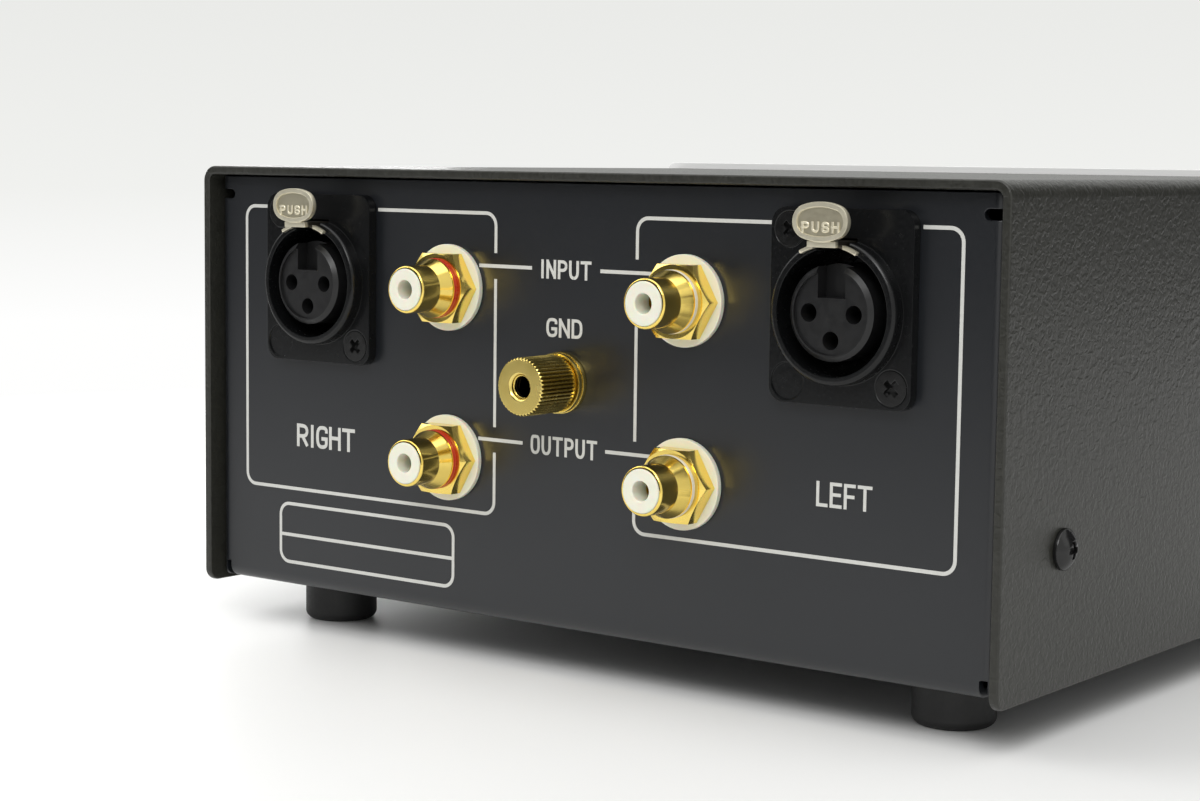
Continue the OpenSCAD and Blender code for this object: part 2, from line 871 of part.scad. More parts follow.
// Die-cast housing: a flange and rim in front of the panel and a barrel behind it
module socket_housing(side) {
    color(black_steel)
        on_rear(side * socket_x, bore_z)
            difference() {
                union() {
                    translate([0, socket_bore_drop, 0])
                        linear_extrude(socket_flange_t)
                            rounded([socket_flange_w, socket_flange_h], socket_flange_r);
                    rotate_extrude() {
                        square([socket_rim_r, socket_rim_len - socket_rim_round]);
                        square([socket_rim_r - socket_rim_round, socket_rim_len]);
                        translate([socket_rim_r - socket_rim_round, socket_rim_len - socket_rim_round])
                            circle(socket_rim_round);
                    }
                    translate([0, 0, -socket_barrel_len])
                        cylinder(h = socket_barrel_len + socket_flange_t / 2, r = socket_barrel_r);
                }
                translate([0, 0, socket_disc_z])
                    cylinder(h = socket_rim_len + over - socket_disc_z, r = socket_bore_r);
                translate([0, 0, -socket_barrel_len - over])
                    cylinder(h = socket_barrel_len, r = socket_ledge_r);
                translate([-slot_w / 2, 0, -over])
                    cube([slot_w, slot_top, socket_rim_len + 2 * over]);
                translate([-slot_w / 2, 0, slot_rear])
                    cube([slot_w, socket_barrel_r + over, -slot_rear]);
                translate([0, pivot_y, pivot_z])
                    rotate([0, 90, 0])
                        cylinder(h = 2 * socket_barrel_r, r = latch_pin_r + press_gap, center = true);
                translate([-socket_barrel_r, latch_top, -socket_barrel_len - over])
                    cube([2 * socket_barrel_r, socket_barrel_r, socket_barrel_len + over + slot_rear]);
                translate([0, latch_top, spring_rear + spring_t / 2])
                    cube([spring_w, 2 * spring_hook, spring_t] + 2 * fit_gap * [1, 1, 1], center = true);
                for (s = [-1, 1])
                    translate([-s * socket_screw_dx / 2, socket_bore_drop + s * socket_screw_dz / 2, 0]) {
                        translate([0, 0, -over])
                            cylinder(h = socket_flange_t + 2 * over, r = screw_r + sink_gap);
                        translate([0, 0, socket_flange_t - socket_head_h])
                            cylinder(h = socket_head_h, r1 = screw_r + sink_gap, r2 = sink_r);
                    }
                translate([-socket_screw_dx / 2, socket_bore_drop - socket_screw_dz / 2, socket_flange_t])
                    cylinder(h = 2 * blank_depth, r = blank_r, center = true);
            }
}

module left_socket_housing() {
    socket_housing(left);
}

module right_socket_housing() {
    socket_housing(right);
}

// Moulded insert with a key slot in its face and a hole for each contact
module socket_insert(side) {
    shoulder = socket_insert_reach - socket_insert_bevel;
    bevel_r = socket_insert_r - socket_insert_bevel;
    color(grey_plastic)
        on_rear(side * socket_x, bore_z)
            difference() {
                union() {
                    translate([0, 0, socket_disc_z])
                        cylinder(h = shoulder - socket_disc_z, r = socket_insert_r);
                    translate([0, 0, shoulder])
                        cylinder(h = socket_insert_bevel, r1 = socket_insert_r, r2 = bevel_r);
                }
                translate([0, 0, socket_insert_reach - socket_face_depth])
                    cylinder(h = socket_face_depth + over, r = socket_face_r);
                translate([-socket_key_w / 2, socket_key_low, socket_insert_reach - socket_key_depth])
                    cube([socket_key_w, socket_insert_r, socket_key_depth + over]);
                for (hole = socket_holes)
                    translate([hole[0], hole[1], 0]) {
                        translate([0, 0, socket_disc_z + socket_disc_t])
                            cylinder(h = socket_barrel_len + socket_insert_reach, r = socket_hole_r);
                        translate([0, 0, socket_disc_z - over])
                            cylinder(h = socket_barrel_len, r = contact_r + run_gap);
                    }
            }
}

module left_socket_insert() {
    socket_insert(left);
}

module right_socket_insert() {
    socket_insert(right);
}

// Moulded rings on the feet of the inserts, seated on the ledges of the barrels
module socket_retainers() {
    color(grey_plastic)
        for (side = sides)
            on_rear(side * socket_x, bore_z)
                pipe(socket_disc_r, socket_insert_r + run_gap, socket_disc_z, socket_disc_t);
}

// Brass sleeves with a solder tail behind the barrel
module socket_contacts() {
    tail = -socket_barrel_len - contact_tail;
    color(gold)
        for (side = sides)
            on_rear(side * socket_x, bore_z)
                for (hole = socket_holes)
                    translate([hole[0], hole[1], 0])
                        difference() {
                            translate([0, 0, tail])
                                cylinder(h = contact_front - tail, r = contact_r);
                            translate([0, 0, contact_front - contact_bore])
                                cylinder(h = contact_bore + over, r = contact_bore_r);
                        }
}

// Release lever: tab in front of the flange, arm through the slot, hook over the bore
module socket_latch(side) {
    tab_z = tab_reach - tab_t;
    color(nickel)
        on_rear(side * socket_x, bore_z)
            difference() {
                union() {
                    translate([-latch_w / 2, latch_y, latch_rear])
                        cube([latch_w, latch_t, tab_reach - tab_t / 2 - latch_rear]);
                    translate([-latch_hook_w / 2, latch_y - latch_hook, latch_rear])
                        cube([latch_hook_w, latch_hook + latch_t / 2, latch_hook_len]);
                    translate([0, pivot_y, pivot_z])
                        rotate([0, 90, 0])
                            cylinder(h = latch_w, r = knuckle_r, center = true);
                    translate([0, tab_y, tab_z])
                        linear_extrude(tab_t)
                            tab_outline(0);
                    translate([0, 0, wing_z])
                        linear_extrude(wing_len)
                            wing_outline();
                }
                translate([0, tab_y, tab_reach - tab_dish])
                    linear_extrude(tab_dish + over)
                        tab_outline(tab_rim);
                translate([0, pivot_y, pivot_z])
                    rotate([0, 90, 0])
                        cylinder(h = latch_w + 2 * over, r = latch_pin_r + run_gap, center = true);
            }
}

// Oval with bowed long sides and round ends, drawn inside the tab's edge by the inset
module tab_outline(inset) {
    bow = tab_bow_r - inset;
    intersection() {
        translate([0, -tab_bow_y])
            circle(bow);
        translate([0, tab_bow_y])
            circle(bow);
        square([2 * tab_join_x, 2 * tab_h], center = true);
    }
    for (x = [-tab_end_x, tab_end_x])
        translate([x, 0])
            circle(tab_end_r - inset);
}

// Curved strip that follows the top of the bore on both sides of the latch's arm
module wing_outline() {
    reach = 2 * socket_rim_r;
    intersection() {
        difference() {
            circle(wing_r + wing_t);
            circle(wing_r);
        }
        polygon([[0, 0], [-reach * sin(wing_angle), reach * cos(wing_angle)],
            [reach * sin(wing_angle), reach * cos(wing_angle)]]);
    }
}

module left_socket_latch() {
    socket_latch(left);
}

module right_socket_latch() {
    socket_latch(right);
}

// Leaf spring that lies on the barrel's flat, holds in a slot there and presses on the latch's arm
module socket_spring(side) {
    color(steel)
        on_rear(side * socket_x, bore_z) {
            translate([-spring_w / 2, latch_top, spring_rear])
                cube([spring_w, spring_t, spring_front - spring_rear]);
            translate([-spring_w / 2, latch_top - spring_hook, spring_rear])
                cube([spring_w, spring_hook, spring_t]);
        }
}

module left_socket_spring() {
    socket_spring(left);
}

module right_socket_spring() {
    socket_spring(right);
}

module socket_latch_pins() {
    color(steel)
        for (side = sides)
            on_rear(side * socket_x, bore_z)
                translate([0, pivot_y, pivot_z])
                    rotate([0, 90, 0])
                        cylinder(h = latch_pin_len, r = latch_pin_r, center = true);
}

module socket_screws() {
    color(black_steel)
        for (side = sides)
            on_rear(side * socket_x, socket_z)
                for (s = [-1, 1])
                    translate([-s * socket_screw_dx / 2, s * socket_screw_dz / 2, socket_flange_t])
                        rotate([0, 0, 45])
                            flat_screw(socket_screw_len);
}

// Phono jacks

// Turned body: shell, cone to the collar, groove for the coloured ring, hex flange and threaded stem
module jack_body(place) {
    color(gold)
        on_rear(place[0], place[1])
            difference() {
                union() {
                    rotate_extrude() {
                        translate([0, -stem_len])
                            square([stem_r, stem_len + hex_z + hex_t / 2]);
                        translate([0, hex_z])
                            square([groove_r, collar_z + over - hex_z]);
                        polygon([
                            [0, collar_z], [collar_r, collar_z], [collar_r, collar_z + collar_band],
                            [shell_r, collar_reach], [0, collar_reach]
                        ]);
                        translate([0, collar_z])
                            square([shell_r, jack_len - shell_round - collar_z]);
                        square([shell_r - shell_round, jack_len]);
                        translate([shell_r - shell_round, jack_len - shell_round])
                            circle(shell_round);
                    }
                    translate([0, 0, hex_z])
                        hex_flange();
                }
                translate([0, 0, -stem_len - over])
                    cylinder(h = stem_len + jack_len + 2 * over, r = insulator_r + run_gap);
            }
}

// Hexagon whose front corners are turned off to a cone
module hex_flange() {
    face_r = hex_af / 2;
    edge_r = 1.2 * face_r;
    edge_z = hex_t - (edge_r - face_r) * tan(hex_cone);
    intersection() {
        linear_extrude(hex_t)
            hexagon(hex_af);
        rotate_extrude()
            polygon([[0, 0], [edge_r, 0], [edge_r, edge_z], [face_r, hex_t], [0, hex_t]]);
    }
}

module left_input_jack() {
    jack_body(jacks[0]);
}

module right_input_jack() {
    jack_body(jacks[1]);
}

module left_output_jack() {
    jack_body(jacks[2]);
}

module right_output_jack() {
    jack_body(jacks[3]);
}

// White sleeves inside the shells, each with a pin hole in front of a wider bore for the contact
module jack_insulators() {
    front = jack_len + insulator_proud;
    color(white_plastic)
        for (place = jacks)
            on_rear(place[0], place[1])
                difference() {
                    translate([0, 0, -stem_len])
                        cylinder(h = stem_len + front, r = insulator_r);
                    translate([0, 0, contact_tube_front - over])
                        cylinder(h = front + 2 * over - contact_tube_front, r = pin_hole_r);
                    translate([0, 0, -stem_len - over])
                        cylinder(h = stem_len + over + contact_tube_front, r = contact_tube_r + run_gap);
                }
}

// Spring tubes that grip a plug's pin, with a solder pin behind
module jack_contacts() {
    color(gold)
        for (place = jacks)
            on_rear(place[0], place[1])
                difference() {
                    union() {
                        translate([0, 0, -stem_len])
                            cylinder(h = stem_len + contact_tube_front - run_gap, r = contact_tube_r);
                        translate([0, 0, -stem_len - contact_pin_len])
                            cylinder(h = contact_pin_len + over, r = contact_pin_r);
                    }
                    translate([0, 0, contact_tube_floor])
                        cylinder(h = contact_tube_front, r = pin_hole_r);
                }
}

// Insulating washers in front of the panel, each with a spigot in the panel's hole
module jack_washers() {
    color(white_plastic)
        for (place = jacks)
            on_rear(place[0], place[1]) {
                pipe(washer_r, stem_r + run_gap, 0, washer_t);
                pipe(spigot_r, stem_r + run_gap, -spigot_len, spigot_len);
            }
}

module jack_inner_washers() {
    color(white_plastic)
        for (place = jacks)
            on_rear(place[0], place[1])
                pipe(inner_washer_r, stem_r + run_gap, -chassis_t - inner_washer_t, inner_washer_t);
}

module jack_nuts() {
    color(gold)
        for (place = jacks)
            on_rear(place[0], place[1])
                translate([0, 0, lug_z - jack_nut_t])
                    hex_nut(jack_nut_af, jack_nut_t, stem_r + run_gap);
}

// Flat solder tag around a stem, with its tail pointing down
module solder_lug(outer_r, hole_r, reach) {
    linear_extrude(lug_t)
        difference() {
            union() {
                circle(outer_r);
                translate([-lug_w / 2, -reach])
                    square([lug_w, reach]);
            }
            circle(hole_r);
            translate([0, lug_w / 2 - reach])
                circle(lug_hole_r);
        }
}

module jack_lugs() {
    color(nickel)
        for (place = jacks)
            on_rear(place[0], place[1])
                translate([0, 0, lug_z])
                    solder_lug(lug_r, stem_r + run_gap, lug_reach);
}

// Plastic rings that sit in the grooves and show the channel
module jack_rings(side) {
    for (z = [input_z, output_z])
        on_rear(side * jack_x, z)
            pipe(ring_r, groove_r + run_gap, ring_z, ring_t);
}

module left_jack_rings() {
    color(white_plastic)
        jack_rings(left);
}

module right_jack_rings() {
    color(red_plastic)
        jack_rings(right);
}

// Ground post

module ground_stud() {
    color(gold)
        on_rear(0, ground_z) {
            cylinder(h = stud_flange_t, r = stud_flange_r);
            translate([0, 0, -stud_len])
                cylinder(h = stud_len + stud_reach, r = stud_r);
        }
}

module ground_clamp_washer() {
    color(gold)
        on_rear(0, ground_z)
            pipe(clamp_r, stud_r + run_gap, clamp_z, clamp_t);
}

// Outline with straight teeth all round
module toothed(r, tooth, count) {
    polygon([
        for (i = [0 : count - 1])
            for (half = [0, 1])
                let (a = 360 * (i + half / 2) / count, reach = r - half * tooth)
                    [reach * cos(a), reach * sin(a)]
    ]);
}

// Knurled nut: teeth along its side, a smooth shoulder behind and a countersunk thread
module ground_thumb_nut() {
    bore_r = stud_r + run_gap;
    edge_r = thumb_r - thumb_chamfer;
    len = thumb_reach - thumb_z;
    color(gold)
        on_rear(0, ground_z)
            translate([0, 0, thumb_z])
                difference() {
                    union() {
                        intersection() {
                            translate([0, 0, thumb_shoulder])
                                linear_extrude(len - thumb_shoulder)
                                    toothed(thumb_r, thumb_tooth, thumb_teeth);
                            rotate_extrude()
                                polygon([
                                    [0, 0], [edge_r, thumb_shoulder],
                                    [thumb_r, thumb_shoulder + thumb_chamfer],
                                    [thumb_r, len - thumb_chamfer], [edge_r, len], [0, len]
                                ]);
                        }
                        cylinder(h = thumb_shoulder + over, r = thumb_r - 2 * thumb_tooth);
                    }
                    translate([0, 0, -over])
                        cylinder(h = len + 2 * over, r = bore_r);
                    translate([0, 0, len - thumb_mouth])
                        cylinder(h = thumb_mouth, r1 = bore_r, r2 = bore_r + thumb_mouth);
                }
}

module ground_lug() {
    color(nickel)
        on_rear(0, ground_z)
            translate([0, 0, -chassis_t - lug_t])
                solder_lug(post_lug_r, stud_r + run_gap, lug_reach);
}

module ground_nut() {
    color(gold)
        on_rear(0, ground_z)
            translate([0, 0, -chassis_t - lug_t - post_nut_t])
                hex_nut(post_nut_af, post_nut_t, stud_r + run_gap);
}

// Selector

// Turned knob with a hollow back over the nut, a blind bore and a pointer line
module selector_knob() {
    color(silver)
        on_front(0, selector_z)
            difference() {
                translate([0, 0, knob_gap])
                    rotate_extrude()
                        polygon([
                            [0, 0], [knob_r, 0], [knob_r, knob_len - knob_chamfer],
                            [knob_r - knob_chamfer, knob_len], [0, knob_len]
                        ]);
                translate([0, 0, knob_gap - over])
                    cylinder(h = knob_skirt_depth + over, r = knob_skirt_r);
                cylinder(h = knob_gap + knob_len - knob_roof, r = shaft_r + run_gap);
                translate([-knob_line_w / 2, -knob_r - over, knob_gap + knob_len - knob_line_depth])
                    cube([knob_line_w, knob_line_len + over, knob_line_depth + over]);
                translate([0, 0, grub_z])
                    rotate([-90, 0, 0])
                        cylinder(h = knob_r + over, r = grub_r + run_gap);
            }
}

// Grub screw that holds the knob on its shaft
module knob_set_screw() {
    color(black_steel)
        on_front(0, selector_z)
            translate([0, shaft_r, grub_z])
                rotate([-90, 0, 0])
                    difference() {
                        cylinder(h = grub_len, r = grub_r);
                        translate([0, 0, grub_len - grub_r])
                            linear_extrude(grub_r + over)
                                hexagon(grub_r);
                    }
}

module selector_shaft() {
    color(steel)
        on_front(0, selector_z)
            translate([0, 0, shaft_rear])
                cylinder(h = shaft_front - shaft_rear, r = shaft_r);
}

// Plate behind the chassis's front wall, with the threaded bushing and the posts for the wafer
module selector_frame() {
    color(steel)
        on_front(0, selector_z)
            difference() {
                union() {
                    translate([0, 0, wall_z - frame_t])
                        linear_extrude(frame_t)
                            rounded([frame_w, frame_w], post_r);
                    translate([0, 0, wall_z - frame_t])
                        cylinder(h = bushing_reach + frame_t - wall_z, r = bushing_r);
                    for (x = [-post_x, post_x])
                        translate([x, 0, wafer_z])
                            cylinder(h = wall_z - wafer_z, r = post_r);
                }
                translate([0, 0, wall_z - frame_t - over])
                    cylinder(h = bushing_reach + frame_t + 2 * over - wall_z, r = shaft_r + run_gap);
            }
}

module selector_nut() {
    color(steel)
        on_front(0, selector_z)
            hex_nut(selector_nut_af, selector_nut_t, bushing_r + run_gap);
}

// Round wafer on the ends of the posts, with a lug for each contact
module selector_wafer() {
    color(amber_board)
        on_front(0, selector_z)
            translate([0, 0, wafer_z - wafer_t])
                difference() {
                    union() {
                        cylinder(h = wafer_t, r = wafer_r);
                        for (i = [0 : wafer_lugs - 1])
                            rotate([0, 0, 360 * (i + 0.5) / wafer_lugs])
                                translate([wafer_r - 1, -wafer_lug_w / 2, (wafer_t - wafer_lug_t) / 2])
                                    cube([wafer_lug_len + 1, wafer_lug_w, wafer_lug_t]);
                    }
                    translate([0, 0, -over])
                        cylinder(h = wafer_t + 2 * over, r = shaft_r + fit_gap);
                }
}

// Transformers

module on_can(side) {
    translate([side * can_x, rear_y + can_y, 0])
        children();
}

// Places a child at each screw of the cans, on the chassis's underside
module at_can_screws() {
    for (side = sides)
        on_can(side)
            for (s = [-1, 1])
                translate([0, s * can_screw_y, base_z])
                    children();
}

// Drawn cup of magnetic shielding alloy that stands on the chassis's floor
module transformer_can(side) {
    color(steel)
        difference() {
            on_can(side)
                translate([0, 0, can_floor])
                    difference() {
                        cylinder(h = can_h, r = can_r);
                        translate([0, 0, can_t])
                            cylinder(h = can_h, r = can_r - can_t);
                    }
            at_can_screws()
                cylinder(h = chassis_t + can_t + over, r = clear_r);
        }
}

module left_transformer_can() {
    transformer_can(left);
}

module right_transformer_can() {
    transformer_can(right);
}

// Lid with a lip inside the can and a hole for each terminal
module transformer_lid(side) {
    lip_r = can_r - can_t - lid_gap;
    color(amber_board)
        on_can(side)
            difference() {
                union() {
                    translate([0, 0, lid_z])
                        cylinder(h = lid_t, r = can_r);
                    pipe(lip_r, lip_r - can_t, lid_z - lid_lip, lid_lip);
                }
                for (place = terminal_places)
                    translate([place[0], place[1], lid_z - over])
                        cylinder(h = lid_t + 2 * over, r = terminal_r + run_gap);
            }
}

module left_transformer_lid() {
    transformer_lid(left);
}

module right_transformer_lid() {
    transformer_lid(right);
}

// Turret pins through the lids, each with a shoulder on top of the lid
module transformer_terminals() {
    color(gold)
        for (side = sides)
            on_can(side)
                for (place = terminal_places)
                    translate([place[0], place[1], lid_z + lid_t]) {
                        translate([0, 0, -lid_t - terminal_down])
                            cylinder(h = lid_t + terminal_down + terminal_up, r = terminal_r);
                        cylinder(h = terminal_head, r = terminal_head_r);
                    }
}

// Stack of laminations: two windows around a middle leg
module core(side) {
    color(steel)
        on_can(side)
            extrude_y(-core_stack / 2, core_stack)
                translate([0, core_z])
                    difference() {
                        translate([-core_w / 2, 0])
                            square([core_w, core_h]);
                        for (s = [-1, 1])
                            translate([s * (core_leg + core_window) / 2 - core_window / 2, core_yoke])
                                square([core_window, window_h]);
                    }
}

module left_core() {
    core(left);
}

module right_core() {
    core(right);
}

// A rectangular tube around the core's middle leg, from one distance of its sides to another
module leg_tube(inner, outer, z, h) {
    translate([0, 0, z])
        linear_extrude(h)
            difference() {
                square([core_leg + 2 * outer, core_stack + 2 * outer], center = true);
                square([core_leg + 2 * inner, core_stack + 2 * inner], center = true);
            }
}

module bobbin(side) {
    color(white_plastic)
        on_can(side) {
            leg_tube(bobbin_clear, bobbin_t, bobbin_z, bobbin_h);
            for (z = [bobbin_z, bobbin_z + bobbin_h - bobbin_plate])
                leg_tube(bobbin_clear, bobbin_out, z, bobbin_plate);
        }
}

module left_bobbin() {
    bobbin(left);
}

module right_bobbin() {
    bobbin(right);
}

// Primary winding on the bobbin's tube, and the secondary winding over it
module windings(side) {
    h = bobbin_h - 2 * bobbin_plate;
    z = bobbin_z + bobbin_plate;
    secondary = bobbin_t + primary_t + winding_gap;
    color(copper)
        on_can(side) {
            leg_tube(bobbin_t, bobbin_t + primary_t, z, h);
            leg_tube(secondary, secondary + secondary_t, z, h);
        }
}

module left_windings() {
    windings(left);
}

module right_windings() {
    windings(right);
}

module transformer_screws() {
    color(black_steel)
        at_can_screws()
            rotate([180, 0, 0])
                pan_screw(can_screw_len);
}

module transformer_nuts() {
    color(steel)
        at_can_screws()
            translate([0, 0, chassis_t + can_t])
                hex_nut(can_nut_af, can_nut_t, thread_r);
}

// Leads

// A point on the smooth curve through a list of points
function curve_point(p, i, t) =
    let (a = p[max(i - 1, 0)], b = p[i], c = p[i + 1], d = p[min(i + 2, len(p) - 1)])
        b + ((c - a) * t + (2 * a - 5 * b + 4 * c - d) * t * t + (3 * b - a - 3 * c + d) * t * t * t) / 2;

function unit(v) = v / norm(v);

// One tube along the curve through the points, with its ends square to the first and last steps
module tube(points, d) {
    steps = 2;
    ring_sides = 8;
    count = len(points);
    path = concat(
        [for (i = [0 : count - 2]) for (k = [0 : steps - 1]) curve_point(points, i, k / steps)],
        [points[count - 1]]
    );
    last = len(path) - 1;
    top = last * ring_sides;
    rings = [
        for (i = [0 : last])
            let (
                along = i == 0 ? points[1] - points[0]
                    : i == last ? points[count - 1] - points[count - 2]
                    : path[i + 1] - path[i - 1],
                across = unit(cross(along, [1, 0, 0])),
                up = cross(across, unit(along))
            )
                for (k = [0 : ring_sides - 1])
                    let (a = 360 * k / ring_sides)
                        path[i] + d / 2 * (cos(a) * across + sin(a) * up)
    ];
    walls = [
        for (i = [0 : last - 1])
            for (k = [0 : ring_sides - 1])
                let (n = (k + 1) % ring_sides, low = i * ring_sides, high = low + ring_sides)
                    each [[low + k, high + k, high + n], [low + k, high + n, low + n]]
    ];
    ends = [for (k = [1 : ring_sides - 2]) each [[0, k, k + 1], [top, top + k + 1, top + k]]];
    polyhedron(rings, concat(walls, ends));
}

// Screened leads of one channel: both inputs to the selector, selector to transformer, and output
module leads(side) {
    color(lead_grey)
        mirror([side == left ? 0 : 1, 0, 0])
            for (route = lead_routes)
                tube(route, lead_d);
}

module left_leads() {
    leads(left);
}

module right_leads() {
    leads(right);
}

cover();
chassis();
front_panel();
cover_screws();
front_panel_screws();
foot_rear_left();
foot_rear_right();
foot_front_left();
foot_front_right();
foot_screws();
left_socket_housing();
left_socket_insert();
left_socket_latch();
left_socket_spring();
right_socket_housing();
right_socket_insert();
right_socket_latch();
right_socket_spring();
socket_retainers();
socket_contacts();
socket_latch_pins();
socket_screws();
left_input_jack();
right_input_jack();
left_output_jack();
right_output_jack();
jack_insulators();
jack_contacts();
jack_washers();
jack_inner_washers();
jack_nuts();
jack_lugs();
left_jack_rings();
right_jack_rings();
ground_stud();
ground_clamp_washer();
ground_thumb_nut();
ground_lug();
ground_nut();
selector_knob();
knob_set_screw();
selector_shaft();
selector_frame();
selector_nut();
selector_wafer();
left_transformer_can();
left_transformer_lid();
left_core();
left_bobbin();
left_windings();
right_transformer_can();
right_transformer_lid();
right_core();
right_bobbin();
right_windings();
transformer_terminals();
transformer_screws();
transformer_nuts();
left_leads();
right_leads();
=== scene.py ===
# Moving coil step-up transformer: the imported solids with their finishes, the printing on the
# connector panel, and the finer shapes of the pieces that a viewer sees close up.
import json
import math
import bmesh
import bpy
from mathutils import Matrix, Vector

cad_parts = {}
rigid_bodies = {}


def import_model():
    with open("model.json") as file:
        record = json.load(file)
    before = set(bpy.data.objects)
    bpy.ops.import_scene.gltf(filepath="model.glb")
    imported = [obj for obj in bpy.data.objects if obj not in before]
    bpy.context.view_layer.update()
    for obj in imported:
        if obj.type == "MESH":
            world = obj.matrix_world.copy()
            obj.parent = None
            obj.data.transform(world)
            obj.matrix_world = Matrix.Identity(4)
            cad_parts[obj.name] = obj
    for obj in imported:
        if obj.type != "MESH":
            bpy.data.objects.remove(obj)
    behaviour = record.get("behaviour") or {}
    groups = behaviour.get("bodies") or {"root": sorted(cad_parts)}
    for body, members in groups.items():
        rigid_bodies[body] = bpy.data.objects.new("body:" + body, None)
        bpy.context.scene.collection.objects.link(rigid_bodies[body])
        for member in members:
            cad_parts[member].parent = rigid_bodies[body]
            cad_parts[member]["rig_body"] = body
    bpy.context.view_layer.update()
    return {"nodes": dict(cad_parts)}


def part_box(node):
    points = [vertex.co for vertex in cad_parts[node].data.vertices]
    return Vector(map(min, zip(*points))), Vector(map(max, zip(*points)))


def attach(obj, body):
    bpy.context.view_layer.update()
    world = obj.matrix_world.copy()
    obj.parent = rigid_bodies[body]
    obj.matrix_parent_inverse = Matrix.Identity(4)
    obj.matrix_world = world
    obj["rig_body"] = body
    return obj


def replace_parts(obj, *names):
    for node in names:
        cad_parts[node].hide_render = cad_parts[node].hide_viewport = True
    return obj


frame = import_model()

# Chassis
# A tray folded from steel sheet, powder coated in a smooth matt blue grey. Its rear wall is the
# connector panel, and slits at the corners let the folds close.

MM = 0.001
SHARP, FLAT = math.radians(28), math.radians(0.4)
WELD, CIRCULAR = 0.002 * MM, 0.5
MID_NOISE = (0.3, 0.7)
MIX_FIRST, MIX_SECOND, MIX_COLOUR = 6, 7, 2


class Wire:
    """A socket of a node tree that makes Math nodes when it is used in arithmetic."""

    def __init__(self, tree, socket=None):
        self.tree = tree
        self.socket = socket

    def node(self, kind, settings=None, values=None, output=0):
        """Adds a node: its settings first, then the values or links of its sockets."""
        made = self.tree.nodes.new(kind)
        for name, setting in (settings or {}).items():
            if name == "stops":
                for _ in setting[2:]:
                    made.color_ramp.elements.new(1.0)
                for element, (place, colour) in zip(made.color_ramp.elements, setting):
                    element.position = place
                    element.color = (*colour, 1.0)
            else:
                setattr(made, name, setting)
        for name, value in (values or {}).items():
            if isinstance(value, Wire):
                self.tree.links.new(value.socket, made.inputs[name])
            else:
                made.inputs[name].default_value = value
        return Wire(self.tree, made.outputs[output] if made.outputs else None)

    def math(self, operation, first, second=0.0):
        return self.node("ShaderNodeMath", {"operation": operation}, {0: first, 1: second})

    def __add__(self, other):
        return self.math("ADD", self, other)

    __radd__ = __add__

    def __sub__(self, other):
        return self.math("SUBTRACT", self, other)

    def __rsub__(self, other):
        return self.math("SUBTRACT", other, self)

    def __mul__(self, other):
        return self.math("MULTIPLY", self, other)

    __rmul__ = __mul__

    def __gt__(self, other):
        return self.math("GREATER_THAN", self, other)

    def __abs__(self):
        return self.math("ABSOLUTE", self)

    def part(self, axis):
        """One coordinate of a vector."""
        return self.node("ShaderNodeSeparateXYZ", None, {0: self}, axis)

    def stretched(self, x, y, z):
        """The same coordinates, scaled along each axis."""
        return self.node("ShaderNodeVectorMath", {"operation": "MULTIPLY"}, {0: self, 1: (x, y, z)})

    def length(self):
        """How long a vector is."""
        return self.node("ShaderNodeVectorMath", {"operation": "LENGTH"}, {0: self}, "Value")

    def from_axis(self, centre):
        """The distance from the line that runs along Y through a point."""
        offset = self.node("ShaderNodeVectorMath", {"operation": "SUBTRACT"},
                           {0: self, 1: tuple(centre)})
        return offset.stretched(1, 0, 1).length()

    def noise(self, cells, detail=3, distortion=0.0):
        """Smooth noise from 0 to 1, with that many cells to the metre, or a count for each axis."""
        if isinstance(cells, tuple):
            return self.stretched(*cells).noise(1.0, detail, distortion)
        return self.node("ShaderNodeTexNoise", None, {
            "Vector": self, "Scale": cells, "Detail": detail, "Distortion": distortion})

    def span(self, low, high, start=0.0, end=1.0):
        """Moves the range low to high onto start to end, held at both ends."""
        return self.node("ShaderNodeMapRange", None, {
            "Value": self, "From Min": low, "From Max": high, "To Min": start, "To Max": end})

    def between(self, start, end):
        """Spreads the middle of a noise over start to end."""
        return self.span(*MID_NOISE, start, end)

    def fades(self, start, end):
        """1 up to start, then falling to 0 at end."""
        return self.span(start, end, 1.0, 0.0)

    def blend(self, first, second):
        """Mixes two colours, with this as the factor."""
        def colour(value):
            return value if isinstance(value, Wire) else (*value, 1.0)
        return self.node("ShaderNodeMix", {"data_type": "RGBA"}, {
            0: self, MIX_FIRST: colour(first), MIX_SECOND: colour(second)}, MIX_COLOUR)

    def bump(self, depth):
        """A normal from this height, which stands for that depth in millimetres."""
        return self.node("ShaderNodeBump", None, {
            "Height": self, "Distance": depth * MM, "Strength": 1.0})


class Finish:
    """A material with one Principled shader, and the coordinates that its patterns use."""

    def __init__(self, name, **constants):
        self.material = bpy.data.materials.new(name)
        self.material.use_nodes = True
        self.tree = self.material.node_tree
        self.shader = self.tree.nodes["Principled BSDF"]
        for socket, value in constants.items():
            self.shader.inputs[socket.replace("_", " ")].default_value = value
        self.place = Wire(self.tree).node("ShaderNodeTexCoord", output="Object")

    def link(self, **wires):
        """Feeds the shader's sockets, and returns the finish."""
        for socket, wire in wires.items():
            self.tree.links.new(wire.socket, self.shader.inputs[socket.replace("_", " ")])
        return self

    def paint(self, *nodes):
        """Gives the material to CAD nodes."""
        for node in nodes:
            mesh = frame["nodes"][node].data
            mesh.materials.clear()
            mesh.materials.append(self.material)


def settle(piece, body):
    """Links a finished piece, and gives it its body."""
    bpy.context.scene.collection.objects.link(piece)
    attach(piece, body)
    return piece


